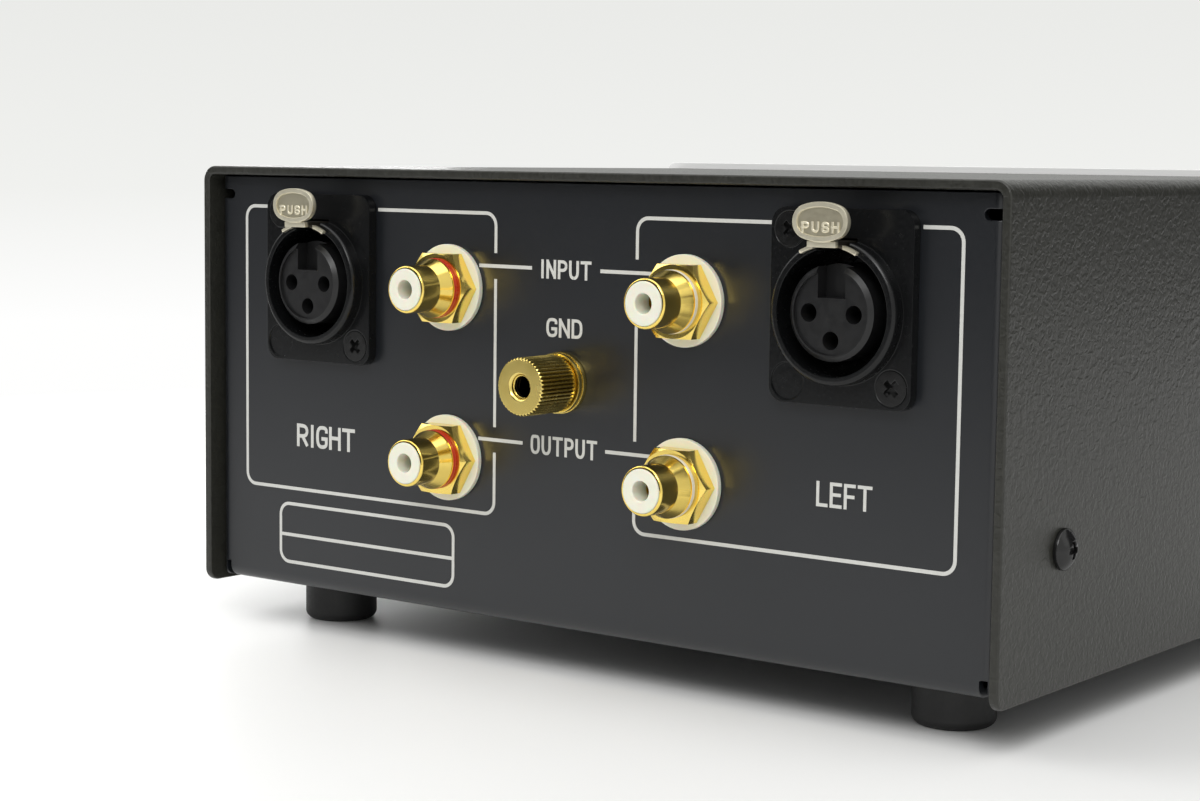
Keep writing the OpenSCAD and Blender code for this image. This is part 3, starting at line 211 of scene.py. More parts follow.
def rounded(finish, width, *nodes, steps=2):
    """Copies of CAD nodes with sharp edges rounded by that width; each takes its node's place."""
    for node in nodes:
        solid = frame["nodes"][node]
        mesh = solid.data.copy()
        mesh.attributes.remove(mesh.attributes["custom_normal"])
        edit = bmesh.new()
        edit.from_mesh(mesh)
        bmesh.ops.remove_doubles(edit, verts=edit.verts, dist=WELD)
        bmesh.ops.dissolve_limit(edit, angle_limit=FLAT, verts=edit.verts, edges=edit.edges)
        sharp = [edge for edge in edit.edges
                 if edge.is_manifold and edge.calc_face_angle() > SHARP]
        bmesh.ops.bevel(edit, geom=sharp, offset=width * MM, offset_type="OFFSET", segments=steps,
                        profile=CIRCULAR, affect="EDGES", loop_slide=True)
        for face in edit.faces:
            face.smooth = True
        edit.to_mesh(mesh)
        edit.free()
        mesh.set_sharp_from_angle(angle=SHARP)
        mesh.materials.clear()
        mesh.materials.append(finish.material)
        piece = bpy.data.objects.new(node + "_rounded", mesh)
        settle(piece, solid["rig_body"])
        shading = piece.modifiers.new("even_shading", "WEIGHTED_NORMAL")
        shading.keep_sharp = True
        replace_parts(piece, node)


panel_paint = Finish("panel_paint", Specular_IOR_Level=0.6)
grain = panel_paint.place.noise(3200)
cloud = panel_paint.place.noise(38)
panel_paint.link(
    Base_Color=cloud.blend((0.0070, 0.0082, 0.0104), (0.0098, 0.0112, 0.0138)),
    Roughness=grain.between(0.28, 0.36),
    Normal=grain.bump(0.0025))
rounded(panel_paint, 0.2, "chassis")

# Transformers
# Each is a laminated core with a wound nylon bobbin in a spun shield can. The can is annealed
# nickel alloy under a laminate lid with turret pins, and is screwed to the chassis's floor.

can_alloy = Finish("can_alloy", Metallic=1.0)
spun = can_alloy.place.noise((30, 30, 9000))
can_alloy.link(
    Base_Color=can_alloy.place.noise(70).blend((0.40, 0.38, 0.36), (0.52, 0.51, 0.50)),
    Roughness=spun.between(0.32, 0.46),
    Normal=spun.bump(0.004))
rounded(can_alloy, 0.3, "left_transformer_can", "right_transformer_can")


def mottled(name, cells, dark, light, roughness, relief, detail=3, **constants):
    """A finish whose colour, gloss and relief, in millimetres, all follow one noise."""
    finish = Finish(name, **constants)
    pattern = finish.place.noise(cells, detail)
    return finish.link(
        Base_Color=pattern.blend(dark, light),
        Roughness=pattern.between(*roughness),
        Normal=pattern.bump(relief))


laminate = mottled("laminate", (1400, 260, 1400), dark=(0.26, 0.125, 0.035),
                   light=(0.36, 0.19, 0.06), roughness=(0.38, 0.52), relief=0.008)
rounded(laminate, 0.15, "left_transformer_lid", "right_transformer_lid")

# A wave texture of scale 1 repeats after a tenth of pi.
LAMINATION, WAVE_LENGTH = 0.35 * MM, math.pi / 10
core_steel = Finish("core_steel", Metallic=1.0)
sheets = core_steel.place.node(
    "ShaderNodeTexWave", {"bands_direction": "Y", "wave_profile": "SAW"},
    {"Vector": core_steel.place, "Scale": WAVE_LENGTH / LAMINATION, "Distortion": 0.0}, 1)
core_steel.link(
    Base_Color=core_steel.place.noise(240).blend((0.13, 0.13, 0.14), (0.22, 0.21, 0.21)),
    Roughness=sheets.span(0.0, 1.0, 0.62, 0.42),
    Normal=sheets.bump(0.03))
core_steel.paint("left_core", "right_core")

nylon = mottled("nylon", 420, dark=(0.77, 0.75, 0.61), light=(0.82, 0.81, 0.70),
                roughness=(0.38, 0.50), relief=0.006, Subsurface_Weight=0.4,
                Subsurface_Scale=1.0 * MM)
nylon.paint("left_bobbin", "right_bobbin")

enamel = mottled("enamelled_wire", 600, dark=(0.46, 0.16, 0.055), light=(0.62, 0.26, 0.10),
                 roughness=(0.24, 0.36), relief=0.004, detail=2, Metallic=1.0,
                 Coat_Weight=0.6, Coat_Roughness=0.12)


def new_tree(name, **inputs):
    """A Geometry Nodes tree with named inputs for its sizes, and a wire for each of them."""
    tree = bpy.data.node_groups.new(name, "GeometryNodeTree")
    for label, kind in {"Geometry": "Geometry", **inputs, "Finish": "Material"}.items():
        tree.interface.new_socket(label, in_out="INPUT", socket_type="NodeSocket" + kind)
    tree.interface.new_socket("Geometry", in_out="OUTPUT", socket_type="NodeSocketGeometry")
    entry = tree.nodes.new("NodeGroupInput")
    return tree, {socket.name: Wire(tree, socket) for socket in entry.outputs if socket.name}


def close_tree(tree, shape, finish):
    """Ends a tree in Realize Instances and Set Material."""
    real = shape.node("GeometryNodeRealizeInstances", None, {"Geometry": shape})
    smooth = real.node("GeometryNodeSetShadeSmooth", None, {"Geometry": real, "Shade Smooth": True})
    done = smooth.node("GeometryNodeSetMaterial", None, {"Geometry": smooth, "Material": finish})
    done.node("NodeGroupOutput", None, {0: done})


def grown(tree, source, finish, **sizes):
    """Runs a tree on a mesh and returns what it makes as a plain mesh."""
    holder = bpy.data.objects.new("grown", source)
    bpy.context.scene.collection.objects.link(holder)
    modifier = holder.modifiers.new("tree", "NODES")
    modifier.node_group = tree
    for socket in tree.interface.items_tree:
        if socket.in_out == "INPUT" and socket.name in sizes:
            modifier[socket.identifier] = sizes[socket.name]
        if socket.name == "Finish":
            modifier[socket.identifier] = finish.material
    result = holder.evaluated_get(bpy.context.evaluated_depsgraph_get())
    mesh = bpy.data.meshes.new_from_object(result)
    bpy.data.objects.remove(holder)
    mesh.materials.clear()
    mesh.materials.append(finish.material)
    return mesh


def joined(name, meshes):
    """One mesh from several, with their materials."""
    edit = bmesh.new()
    result = bpy.data.meshes.new(name)
    for mesh in meshes:
        first = len(edit.faces)
        edit.from_mesh(mesh)
        edit.faces.ensure_lookup_table()
        for material in mesh.materials:
            if material.name not in result.materials:
                result.materials.append(material)
        for face in edit.faces[first:]:
            material = mesh.materials[face.material_index]
            face.material_index = result.materials.find(material.name)
    edit.to_mesh(result)
    edit.free()
    return result


WIRE_SIDES, CORNER_STEPS = 6, 3
layer_tree, layer = new_tree("wound_layer", Width="Float", Depth="Float", Corner="Float",
                             Wire="Float", Turns="Int", Low="Vector", Rise="Vector")
turn = layer["Width"].node("GeometryNodeCurvePrimitiveQuadrilateral", None, {
    "Width": layer["Width"], "Height": layer["Depth"]})
turn = turn.node("GeometryNodeFilletCurve", {"mode": "POLY"}, {
    "Curve": turn, "Radius": layer["Corner"], "Count": CORNER_STEPS})
section = turn.node("GeometryNodeCurvePrimitiveCircle", None, {
    "Resolution": WIRE_SIDES, "Radius": layer["Wire"] * 0.5})
turn = turn.node("GeometryNodeCurveToMesh", None, {"Curve": turn, "Profile Curve": section})
row = turn.node("GeometryNodeMeshLine", None, {
    "Count": layer["Turns"], "Start Location": layer["Low"], "Offset": layer["Rise"]})
stack = row.node("GeometryNodeInstanceOnPoints", None, {"Points": row, "Instance": turn})
close_tree(layer_tree, stack, layer["Finish"])

# Each winding has its wire's thickness, its number of layers and its distance from the bobbin.
WINDINGS = ((0.5 * MM, 3, 0.0), (0.6 * MM, 4, 1.6 * MM))
BOBBIN_WIDTH, BOBBIN_WALL, WIRE_FILL = 13.6 * MM, 0.8 * MM, 0.98
for side in ("left", "right"):
    low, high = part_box(side + "_windings")
    core_low, core_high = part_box(side + "_core")
    bobbin_depth = core_high.y - core_low.y + 2 * BOBBIN_WALL
    middle = (low + high) / 2
    layers = []
    for wire, count, start in WINDINGS:
        turns = int((high.z - low.z) / wire)
        spacing = (high.z - low.z) / turns
        for step in range(count):
            reach = 2 * start + (2 * step + 1) * wire
            layers.append(grown(
                layer_tree, bpy.data.meshes.new("seed"), enamel, Width=BOBBIN_WIDTH + reach,
                Depth=bobbin_depth + reach, Corner=BOBBIN_WALL + reach / 4, Wire=WIRE_FILL * wire,
                Turns=turns, Low=(middle.x, middle.y, low.z + spacing / 2), Rise=(0, 0, spacing)))
    coil = bpy.data.objects.new(side + "_coil", joined(side + "_coil", layers))
    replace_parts(settle(coil, "case"), side + "_windings")

gold = Finish("gold_plate", Metallic=1.0)
turned = gold.place.noise((60, 7000, 60), 2)
smudge = gold.place.noise(160)
gold.link(
    Base_Color=smudge.blend((0.90, 0.66, 0.15), (0.95, 0.73, 0.20)),
    Roughness=smudge.between(0.13, 0.21),
    Normal=turned.bump(0.0012))
gold.paint("transformer_terminals")

black_steel = mottled("black_steel", 900, dark=(0.006, 0.006, 0.006), light=(0.011, 0.011, 0.011),
                      roughness=(0.16, 0.25), relief=0.002, Specular_IOR_Level=0.45)
black_steel.paint("transformer_screws")

zinc = mottled("zinc_plate", 520, dark=(0.50, 0.51, 0.53), light=(0.62, 0.63, 0.65),
               roughness=(0.26, 0.40), relief=0.004, Metallic=1.0)
zinc.paint("transformer_nuts")

# Selector switch
# A wafer of laminate with tinned tags hangs on two posts behind a stamped frame. Its steel shaft
# runs in a bushing that a nut clamps to the front.

rounded(zinc, 0.12, "selector_frame", "selector_nut", "selector_shaft")

BOARD_RADIUS = 14.0 * MM
wafer_low, wafer_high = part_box("selector_wafer")
wafer_board = Finish("wafer_board")
flecks = wafer_board.place.noise(900)
fabric = flecks.blend((0.25, 0.12, 0.035), (0.34, 0.18, 0.06))
on_tag = wafer_board.place.from_axis((wafer_low + wafer_high) / 2) > BOARD_RADIUS
wafer_board.link(
    Base_Color=on_tag.blend(fabric, (0.62, 0.60, 0.55)),
    Metallic=on_tag,
    Roughness=flecks.between(0.34, 0.50),
    Normal=flecks.bump(0.006))
wafer_board.paint("selector_wafer")

# Balanced sockets
# A die cast black flange and barrel holds a moulded insert with three female contacts. A pressed
# nickel latch sits in a slot above the bore, sprung from behind, and two screws fix each flange.

socket_black = mottled("socket_black", 1500, dark=(0.0040, 0.0042, 0.0045),
                       light=(0.0065, 0.0068, 0.0072), roughness=(0.19, 0.28), relief=0.004,
                       Specular_IOR_Level=0.3)
rounded(socket_black, 0.16, "left_socket_housing", "right_socket_housing")

insert_plastic = mottled("insert_plastic", 1100, dark=(0.0070, 0.0070, 0.0074),
                         light=(0.0120, 0.0120, 0.0125), roughness=(0.28, 0.38), relief=0.005,
                         Specular_IOR_Level=0.4)
insert_plastic.paint("left_socket_insert", "right_socket_insert", "socket_retainers")

# Inside the slot the latch's arm is painted near black as painted shade, and the bottom of its
# dished tab is painted darker as a painted reflection of dark surroundings.
SOCKET_MIDDLE, TAB_DISH = 56.4, 0.35
ARM_SIDE, ARM_CLEAR, ARM_FRONT, ARM_DARK = 2.65 * MM, 2.75 * MM, 1.0 * MM, 1.5 * MM
DISH_SHADED, DISH_CLEAR = 0.02 * MM, 0.06 * MM
nickel = Finish("satin_nickel", Metallic=0.8)
satin = nickel.place.noise(1300)
off_arm = abs(abs(nickel.place.part("X")) - SOCKET_MIDDLE * MM)
behind = nickel.place.part("Y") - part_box("left_socket_latch")[0].y
# Painted shade: the arm deeper inside the slot than ARM_DARK is painted near black.
painted_slot_shade = off_arm.fades(ARM_SIDE, ARM_CLEAR) * behind.span(ARM_FRONT, ARM_DARK)
# Painted reflection: the bottom of the tab's dish is painted darker, standing in for the dark
# surroundings it reflects.
painted_dish_reflection = abs(behind - TAB_DISH * MM).fades(DISH_SHADED, DISH_CLEAR)
plated = nickel.place.noise(260, 2).blend((0.72, 0.67, 0.51), (0.80, 0.75, 0.60))
plated = painted_dish_reflection.blend(plated, (0.50, 0.46, 0.34))
nickel.link(
    Base_Color=painted_slot_shade.blend(plated, (0.060, 0.052, 0.042)),
    Roughness=satin.between(0.32, 0.44),
    Normal=satin.bump(0.004))
rounded(nickel, 0.12, "left_socket_latch", "right_socket_latch")

CORD_SIDES = 12
swept_tree, swept = new_tree("swept_line", Width="Float", Height="Float", Round="Bool")
path = swept["Geometry"].node("GeometryNodeMeshToCurve", None, {"Mesh": swept["Geometry"]})
path = path.node("GeometryNodeSetCurveNormal", {"mode": "Z_UP"}, {"Curve": path})
bar = path.node("GeometryNodeCurvePrimitiveQuadrilateral", None, {
    "Width": swept["Width"], "Height": swept["Height"]})
circle = path.node("GeometryNodeCurvePrimitiveCircle", None, {
    "Resolution": CORD_SIDES, "Radius": swept["Width"] * 0.5})
profile = path.node("GeometryNodeSwitch", {"input_type": "GEOMETRY"}, {
    "Switch": swept["Round"], "False": bar, "True": circle})
swept_line = path.node("GeometryNodeCurveToMesh", None, {
    "Curve": path, "Profile Curve": profile, "Fill Caps": True})
close_tree(swept_tree, swept_line, swept["Finish"])


def line_mesh(points, closed=False):
    """A chain of edges through the points."""
    mesh = bpy.data.meshes.new("chain")
    last = len(points) - 1
    edges = [(i, i + 1) for i in range(last)] + ([(last, 0)] if closed else [])
    mesh.from_pydata(points, edges, [])
    return mesh


# Each letter has its share of a word's width and its strokes, in a box of one by one.
STEM, EDGE = [(0, 0), (0, 1)], [(1, 0), (1, 1)]
BOWL = [(0, 1), (1, 1), (1, 0.46), (0, 0.46)]
letters = {
    "D": (0.50, [STEM, [(0, 1), (1, 1), (1, 0), (0, 0)]]),
    "E": (0.46, [STEM, [(0, 1), (1, 1)], [(0, 0.52), (0.9, 0.52)], [(0, 0), (1, 0)]]),
    "F": (0.44, [STEM, [(0, 1), (1, 1)], [(0, 0.5), (0.88, 0.5)]]),
    "G": (0.52, [[(1, 0.82), (1, 1), (0, 1), (0, 0), (1, 0), (1, 0.34)],
                 [(0.60, 0.43), (1, 0.43)]]),
    "H": (0.52, [STEM, EDGE, [(0, 0.52), (1, 0.52)]]),
    "I": (0.14, [[(0.5, 0), (0.5, 1)]]),
    "L": (0.44, [STEM, [(0, 0), (1, 0)]]),
    "N": (0.52, [STEM, [(0, 1), (1, 0)], EDGE]),
    "O": (0.52, [[(0.5, 1), (0, 1), (0, 0), (1, 0), (1, 1), (0.5, 1)]]),
    "P": (0.50, [STEM, BOWL]),
    "R": (0.52, [STEM, BOWL, [(0.5, 0.46), (1, 0)]]),
    "S": (0.50, [[(1, 0.76), (1, 1), (0, 1), (0, 0.54), (1, 0.46), (1, 0), (0, 0), (0, 0.24)]]),
    "T": (0.58, [[(0, 1), (1, 1)], [(0.5, 0), (0.5, 1)]]),
    "U": (0.52, [[(0, 1), (0, 0), (1, 0), (1, 1)]]),
}
LETTER_GAP, CORNER_SHARE, CURVE_STEPS = 0.38, 0.36, 6
SQUARE_CAP, SLANTED_CAP, SLANT = 0.5, 0.25, 0.0005


def eased(points, reach):
    """The same line with its corners bent, starting that far from each of them."""
    points = [Vector(point) for point in points]
    line = [points[0]]
    for before, bend, after in zip(points, points[1:], points[2:]):
        start = bend + (before - bend).normalized() * min(reach, (before - bend).length / 2)
        end = bend + (after - bend).normalized() * min(reach, (after - bend).length / 2)
        for step in range(CURVE_STEPS + 1):
            t = step / CURVE_STEPS
            line.append(start.lerp(bend, t).lerp(bend.lerp(end, t), t))
    return line + [points[-1]]


def capped(points, weight):
    """The same line, longer at both ends by half its weight, or by a quarter where it slants."""
    def end(last, before):
        along = (Vector(last) - Vector(before)).normalized()
        slanted = min(abs(part) for part in along) > SLANT
        return Vector(last) + along * weight * (SLANTED_CAP if slanted else SQUARE_CAP)
    if points[0] == points[-1]:
        return points
    return [end(points[0], points[1]), *points[1:-1], end(points[-1], points[-2])]


def word_lines(text, left, right, low, high, weight):
    """The strokes of a word that fills a box with lines of that weight, in millimetres."""
    widths = [letters[letter][0] for letter in text]
    room = right - left - len(text) * weight - (len(text) - 1) * LETTER_GAP
    base, rise = low + weight / 2, high - low - weight
    start = left + weight / 2
    lines = []
    for letter, share in zip(text, widths):
        width = room * share / sum(widths)
        for shape in letters[letter][1]:
            line = [(start + x * width, base + z * rise) for x, z in shape]
            lines.append(eased(capped(line, weight), CORNER_SHARE * (high - low)))
        start += width + weight + LETTER_GAP
    return lines


def drawn_line(points, finish, width, thick, depth, closed=False, corded=False):
    """A bar or cord through points across and up the connector side, at a depth in millimetres."""
    flat = line_mesh([(x * MM, z * MM, 0) for x, z in points], closed)
    mesh = grown(swept_tree, flat, finish, Width=width * MM, Height=thick * MM, Round=corded)
    mesh.transform(Matrix.Translation((0, depth * MM, 0)) @ Matrix.Rotation(math.pi / 2, 4, "X"))
    mesh.set_sharp_from_angle(angle=SHARP)
    return mesh


WORD_WIDTH, WORD_HEIGHT, WORD_WEIGHT, WORD_DROP = 6.9, 1.75, 0.45, 3.9
for side in ("left", "right"):
    low, high = (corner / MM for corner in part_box(side + "_socket_latch"))
    middle, line = (low.x + high.x) / 2, high.z - WORD_DROP
    ridges = word_lines("PUSH", middle - WORD_WIDTH / 2, middle + WORD_WIDTH / 2,
                        line - WORD_HEIGHT / 2, line + WORD_HEIGHT / 2, WORD_WEIGHT)
    word = joined("tab_word", [
        drawn_line(ridge, nickel, WORD_WEIGHT, WORD_WEIGHT, low.y + TAB_DISH, corded=True)
        for ridge in ridges])
    settle(bpy.data.objects.new(side + "_tab_word", word), side + "_latch")

spring_steel = mottled("spring_steel", (2500, 200, 2500), dark=(0.42, 0.42, 0.44),
                       light=(0.55, 0.55, 0.57), roughness=(0.22, 0.34), relief=0.003, detail=2,
                       Metallic=1.0)
spring_steel.paint("left_socket_spring", "right_socket_spring", "socket_latch_pins")
gold.paint("socket_contacts")
rounded(black_steel, 0.1, "socket_screws")

# Phono jacks
# Turned brass bodies plated in bright gold, with a hexagon, a channel ring and a rolled lip. A
# white insulator holds the centre contact, and white washers keep the body off the panel.

gold.paint("left_input_jack", "right_input_jack", "left_output_jack", "right_output_jack",
           "jack_contacts", "jack_nuts")
rounded(nylon, 0.16, "jack_washers", "jack_inner_washers")
rounded(nylon, 0.22, "jack_insulators", steps=3)

tinned = mottled("tinned_tag", 700, dark=(0.55, 0.53, 0.48), light=(0.68, 0.66, 0.61),
                 roughness=(0.30, 0.46), relief=0.006, Metallic=1.0)
rounded(tinned, 0.06, "jack_lugs", "ground_lug")

ring_white = mottled("ring_white", 500, dark=(0.74, 0.72, 0.66), light=(0.80, 0.78, 0.73),
                     roughness=(0.26, 0.36), relief=0.004, detail=2)
rounded(ring_white, 0.1, "left_jack_rings")

ring_red = mottled("ring_red", 500, dark=(0.42, 0.012, 0.014), light=(0.54, 0.022, 0.022),
                   roughness=(0.24, 0.34), relief=0.004, detail=2)
rounded(ring_red, 0.1, "right_jack_rings")

# Ground post
# A gold plated stud with a clamp washer and a knurled thumb nut that runs on its thread. The nut's
# open end shows the thread inside, cut with a pitch of 0.7 mm.

nut_low, nut_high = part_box("ground_thumb_nut")
nut_axis = (nut_low + nut_high) / 2
BORE_WALL, BORE_CLEAR, BORE_BRIGHT, BORE_DARK = 2.4 * MM, 2.5 * MM, 0.9 * MM, 1.3 * MM
TOOTH_FLOOR, TOOTH_ROOT, TOOTH_TOP = 4.45 * MM, 4.55 * MM, 4.82 * MM
TOOTH_START, TOOTH_FULL, TOOTH_LAST, TOOTH_END = 0.1 * MM, 0.5 * MM, 9.3 * MM, 9.4 * MM
brass = Finish("post_gold", Metallic=1.0)
handled = brass.place.noise(300)
radius = brass.place.from_axis(nut_axis)
depth = brass.place.part("Y") - nut_low.y
# Painted shade: deeper than BORE_DARK inside the nut's bore, the gold is painted near black.
painted_bore_shade = radius.fades(BORE_WALL, BORE_CLEAR) * depth.span(BORE_BRIGHT, BORE_DARK)
# Painted shade: the knurl's grooves between the teeth are painted dark brown, so the tooth tips
# stand out brighter.
painted_groove_shade = radius.fades(TOOTH_ROOT, TOOTH_TOP) * (radius > TOOTH_FLOOR)
painted_groove_shade = painted_groove_shade * depth.span(TOOTH_START, TOOTH_FULL) * depth.fades(TOOTH_LAST, TOOTH_END)
bright = handled.blend((0.75, 0.58, 0.16), (0.83, 0.66, 0.22))
brass.link(
    Base_Color=painted_bore_shade.blend(painted_groove_shade.blend(bright, (0.13, 0.09, 0.025)), (0.012, 0.010, 0.006)),
    Roughness=handled.between(0.20, 0.28),
    Normal=handled.bump(0.001))
rounded(brass, 0.05, "ground_thumb_nut", steps=1)
rounded(brass, 0.1, "ground_stud", "ground_clamp_washer", "ground_nut")

THREAD_PITCH, THREAD_RADIUS, THREAD_RIDGE, THREAD_STEPS = 0.7 * MM, 2.02 * MM, 0.42 * MM, 24
THREAD_START, THREAD_LENGTH = 0.6 * MM, 1.8 * MM
thread_points = []
for step in range(int(THREAD_LENGTH / THREAD_PITCH * THREAD_STEPS) + 1):
    angle = 2 * math.pi * step / THREAD_STEPS
    thread_points.append((
        nut_axis.x + THREAD_RADIUS * math.cos(angle),
        nut_low.y + THREAD_START + THREAD_PITCH * step / THREAD_STEPS,
        nut_axis.z + THREAD_RADIUS * math.sin(angle)))
thread = grown(swept_tree, line_mesh(thread_points), brass,
               Width=THREAD_RIDGE, Height=THREAD_RIDGE, Round=True)
settle(bpy.data.objects.new("thumb_nut_thread", thread), "thumb_nut")

# Leads
# Screened single core leads join the sockets, the selector and the transformers. Each grey jacket
# stops a few millimetres short of its contact, and the tinned core goes on.

LEAD, CORE, BARE, LEAD_STEPS = 2.6 * MM, 0.9 * MM, 3.0 * MM, 8
lead_routes = {
    "balanced": [(56.4, -55.8, 62.4), (56.4, -46.8, 63.4), (50, -14.65, 68.85),
                 (32, 23.35, 66.85), (10.23, 46.9, 60.4), (9.23, 55.9, 59.4)],
    "input": [(25.7, -65.3, 67.0), (25.7, -56.3, 67.0), (14, 3.35, 56.7),
              (15.43, 46.9, 52.05), (14.93, 55.9, 51.55)],
    "primary": [(33, 10.35, 62.85), (33, 10.35, 66.85), (25, 26.35, 63.85),
                (15.43, 46.9, 42.85), (14.93, 55.9, 41.85)],
    "output": [(33, -3.65, 62.85), (33, -3.65, 66.85), (32, -20.65, 63.85),
               (27.7, -40.65, 50.7), (25.7, -56.3, 37.7), (25.7, -65.3, 36.7)],
}
jacket = mottled("lead_jacket", 900, dark=(0.060, 0.060, 0.066), light=(0.085, 0.085, 0.092),
                 roughness=(0.42, 0.56), relief=0.01)


def smooth_route(points):
    """Points close together on the smooth curve through a route."""
    ends = [points[0], *points, points[-1]]
    route = []
    for a, b, c, d in zip(ends, ends[1:], ends[2:], ends[3:]):
        for step in range(LEAD_STEPS):
            t = step / LEAD_STEPS
            route.append(b + ((c - a) * t + (2 * a - 5 * b + 4 * c - d) * t ** 2
                              + (3 * b - a - 3 * c + d) * t ** 3) / 2)
    return route + [points[-1]]


for side, sign in (("left", 1), ("right", -1)):
    for name, points in lead_routes.items():
        route = smooth_route([Vector((sign * x, y, z)) * MM for x, y, z in points])
        covered = [point for point in route
                   if min((point - route[0]).length, (point - route[-1]).length) > BARE]
        tube = grown(swept_tree, line_mesh(covered), jacket, Width=LEAD, Height=LEAD, Round=True)
        core = grown(swept_tree, line_mesh(route), tinned, Width=CORE, Height=CORE, Round=True)
        lead = bpy.data.objects.new(f"{side}_{name}_lead", joined("lead", [tube, core]))
        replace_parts(settle(lead, "case"), side + "_leads")

# Printing
# The legends, channel frames and the outline of a bare plate are screen printed on the connector
# panel in warm off-white ink, a few hundredths of a millimetre thick.

ink = mottled("panel_ink", 2600, dark=(0.54, 0.54, 0.51), light=(0.61, 0.61, 0.58),
              roughness=(0.46, 0.60), relief=0.004)
INK, OVERLAP, OVERLAPS = 0.03, 0.005, 4
STROKE, BEND, BEND_STEPS = 0.62, 2.2, 8
panel_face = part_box("chassis")[0].y / MM
prints = []


def print_line(points, closed=False, width=STROKE):
    """A printed line across and up the panel, in millimetres; lines that cross differ in height."""
    thick = INK + OVERLAP * (len(prints) % OVERLAPS)
    prints.append(drawn_line(points, ink, width, thick, panel_face - thick / 2, closed))


def corner(x, z, start):
    """A quarter circle about a point, from an angle in quarter turns."""
    angles = [math.pi / 2 * (start + step / BEND_STEPS) for step in range(BEND_STEPS + 1)]
    return [(x + BEND * math.cos(angle), z + BEND * math.sin(angle)) for angle in angles]


FRAME_TOP, FRAME_LOW, FRAME_SIDE, SOCKET_HALF = 80.3, 27.4, 76.8, 13.4
INPUT_LINE, OUTPUT_LINE, LINE_GAP, RULE_END = 71.15, 40.65, 2.25, 18.9
for sign, inner, input_rule, output_rule in ((-1, 15.15, 7.0, 8.75), (1, 15.55, 7.85, 9.35)):
    near, far = inner + BEND, FRAME_SIDE - BEND
    top, low = FRAME_TOP - BEND, FRAME_LOW + BEND
    shapes = [
        [(SOCKET_MIDDLE - SOCKET_HALF, FRAME_TOP), *corner(near, top, 1),
         (inner, INPUT_LINE + LINE_GAP)],
        [(inner, INPUT_LINE - LINE_GAP), (inner, OUTPUT_LINE + LINE_GAP)],
        [(inner, OUTPUT_LINE - LINE_GAP), *corner(near, low, 2), *corner(far, low, 3),
         *corner(far, top, 0), (SOCKET_MIDDLE + SOCKET_HALF, FRAME_TOP)],
        [(input_rule, INPUT_LINE), (RULE_END, INPUT_LINE)],
        [(output_rule, OUTPUT_LINE), (RULE_END, OUTPUT_LINE)],
    ]
    for shape in shapes:
        print_line([(sign * x, z) for x, z in shape])

PLATE_LEFT, PLATE_RIGHT, PLATE_LOW, PLATE_TOP, PLATE_SPLIT = -67.9, -24.6, 13.3, 24.4, 18.5
print_line([*corner(PLATE_RIGHT - BEND, PLATE_TOP - BEND, 0),
            *corner(PLATE_LEFT + BEND, PLATE_TOP - BEND, 1),
            *corner(PLATE_LEFT + BEND, PLATE_LOW + BEND, 2),
            *corner(PLATE_RIGHT - BEND, PLATE_LOW + BEND, 3)], closed=True)
print_line([(PLATE_LEFT, PLATE_SPLIT), (PLATE_RIGHT, PLATE_SPLIT)])

# Each legend has its left, right, low and high edge, and the weight of its strokes.
legends = {
    "INPUT": (-5.15, 5.95, 69.45, 72.7, 0.54),
    "GND": (-3.7, 4.15, 59.45, 62.75, 0.54),
    "OUTPUT": (-6.95, 7.6, 38.95, 42.3, 0.54),
    "RIGHT": (-63.6, -48.7, 35.5, 39.8, 0.68),
    "LEFT": (51.6, 61.9, 35.6, 39.65, 0.55),
}
for text, (left, right, low, high, weight) in legends.items():
    for line in word_lines(text, left, right, low, high, weight):
        print_line(line, width=weight)

printing = bpy.data.objects.new("panel_printing", joined("panel_printing", prints))
settle(printing, "case")

# Front panel and knob
# A thick aluminium plate, brushed along its length, anodised clear and screwed on from inside. The
# turned knob has a black filled pointer line and a set screw.

aluminium = mottled("brushed_aluminium", (40, 3200, 5200), dark=(0.87, 0.87, 0.86),
                    light=(0.93, 0.93, 0.92), roughness=(0.34, 0.48), relief=0.005, Metallic=0.2)
rounded(aluminium, 0.2, "front_panel")

POINTER_SIDE, POINTER_CLEAR, POINTER_START = 0.50 * MM, 0.54 * MM, 3.0 * MM
FILL_FLOOR, FILL_TOP, FILL_CLEAR = -1.0 * MM, -0.3 * MM, -0.1 * MM
knob_low, knob_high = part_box("selector_knob")
knob_axis = (knob_low + knob_high) / 2
knob_metal = Finish("knob_aluminium", Metallic=1.0)
lathe = knob_metal.place.noise((60, 6000, 60), 2)
aside = abs(knob_metal.place.part("X") - knob_axis.x)
above = knob_metal.place.part("Z") - knob_axis.z
proud = knob_metal.place.part("Y") - knob_high.y
pointer = aside.fades(POINTER_SIDE, POINTER_CLEAR) * (above > POINTER_START)
pointer = pointer * (proud > FILL_FLOOR) * proud.fades(FILL_TOP, FILL_CLEAR)
bare = lathe.blend((0.58, 0.58, 0.57), (0.70, 0.70, 0.69))
knob_metal.link(
    Base_Color=pointer.blend(bare, (0.012, 0.012, 0.012)),
    Metallic=1 - pointer,
    Roughness=lathe.between(0.22, 0.34),
    Normal=lathe.bump(0.003))
rounded(knob_metal, 0.15, "selector_knob")
black_steel.paint("knob_set_screw")
rounded(black_steel, 0.12, "front_panel_screws")

# Cover
# A steel wrap over the top and both sides in dark grey wrinkle paint, with a short lip that stands
# past the connector panel. Black domed screws hold it at the sides.

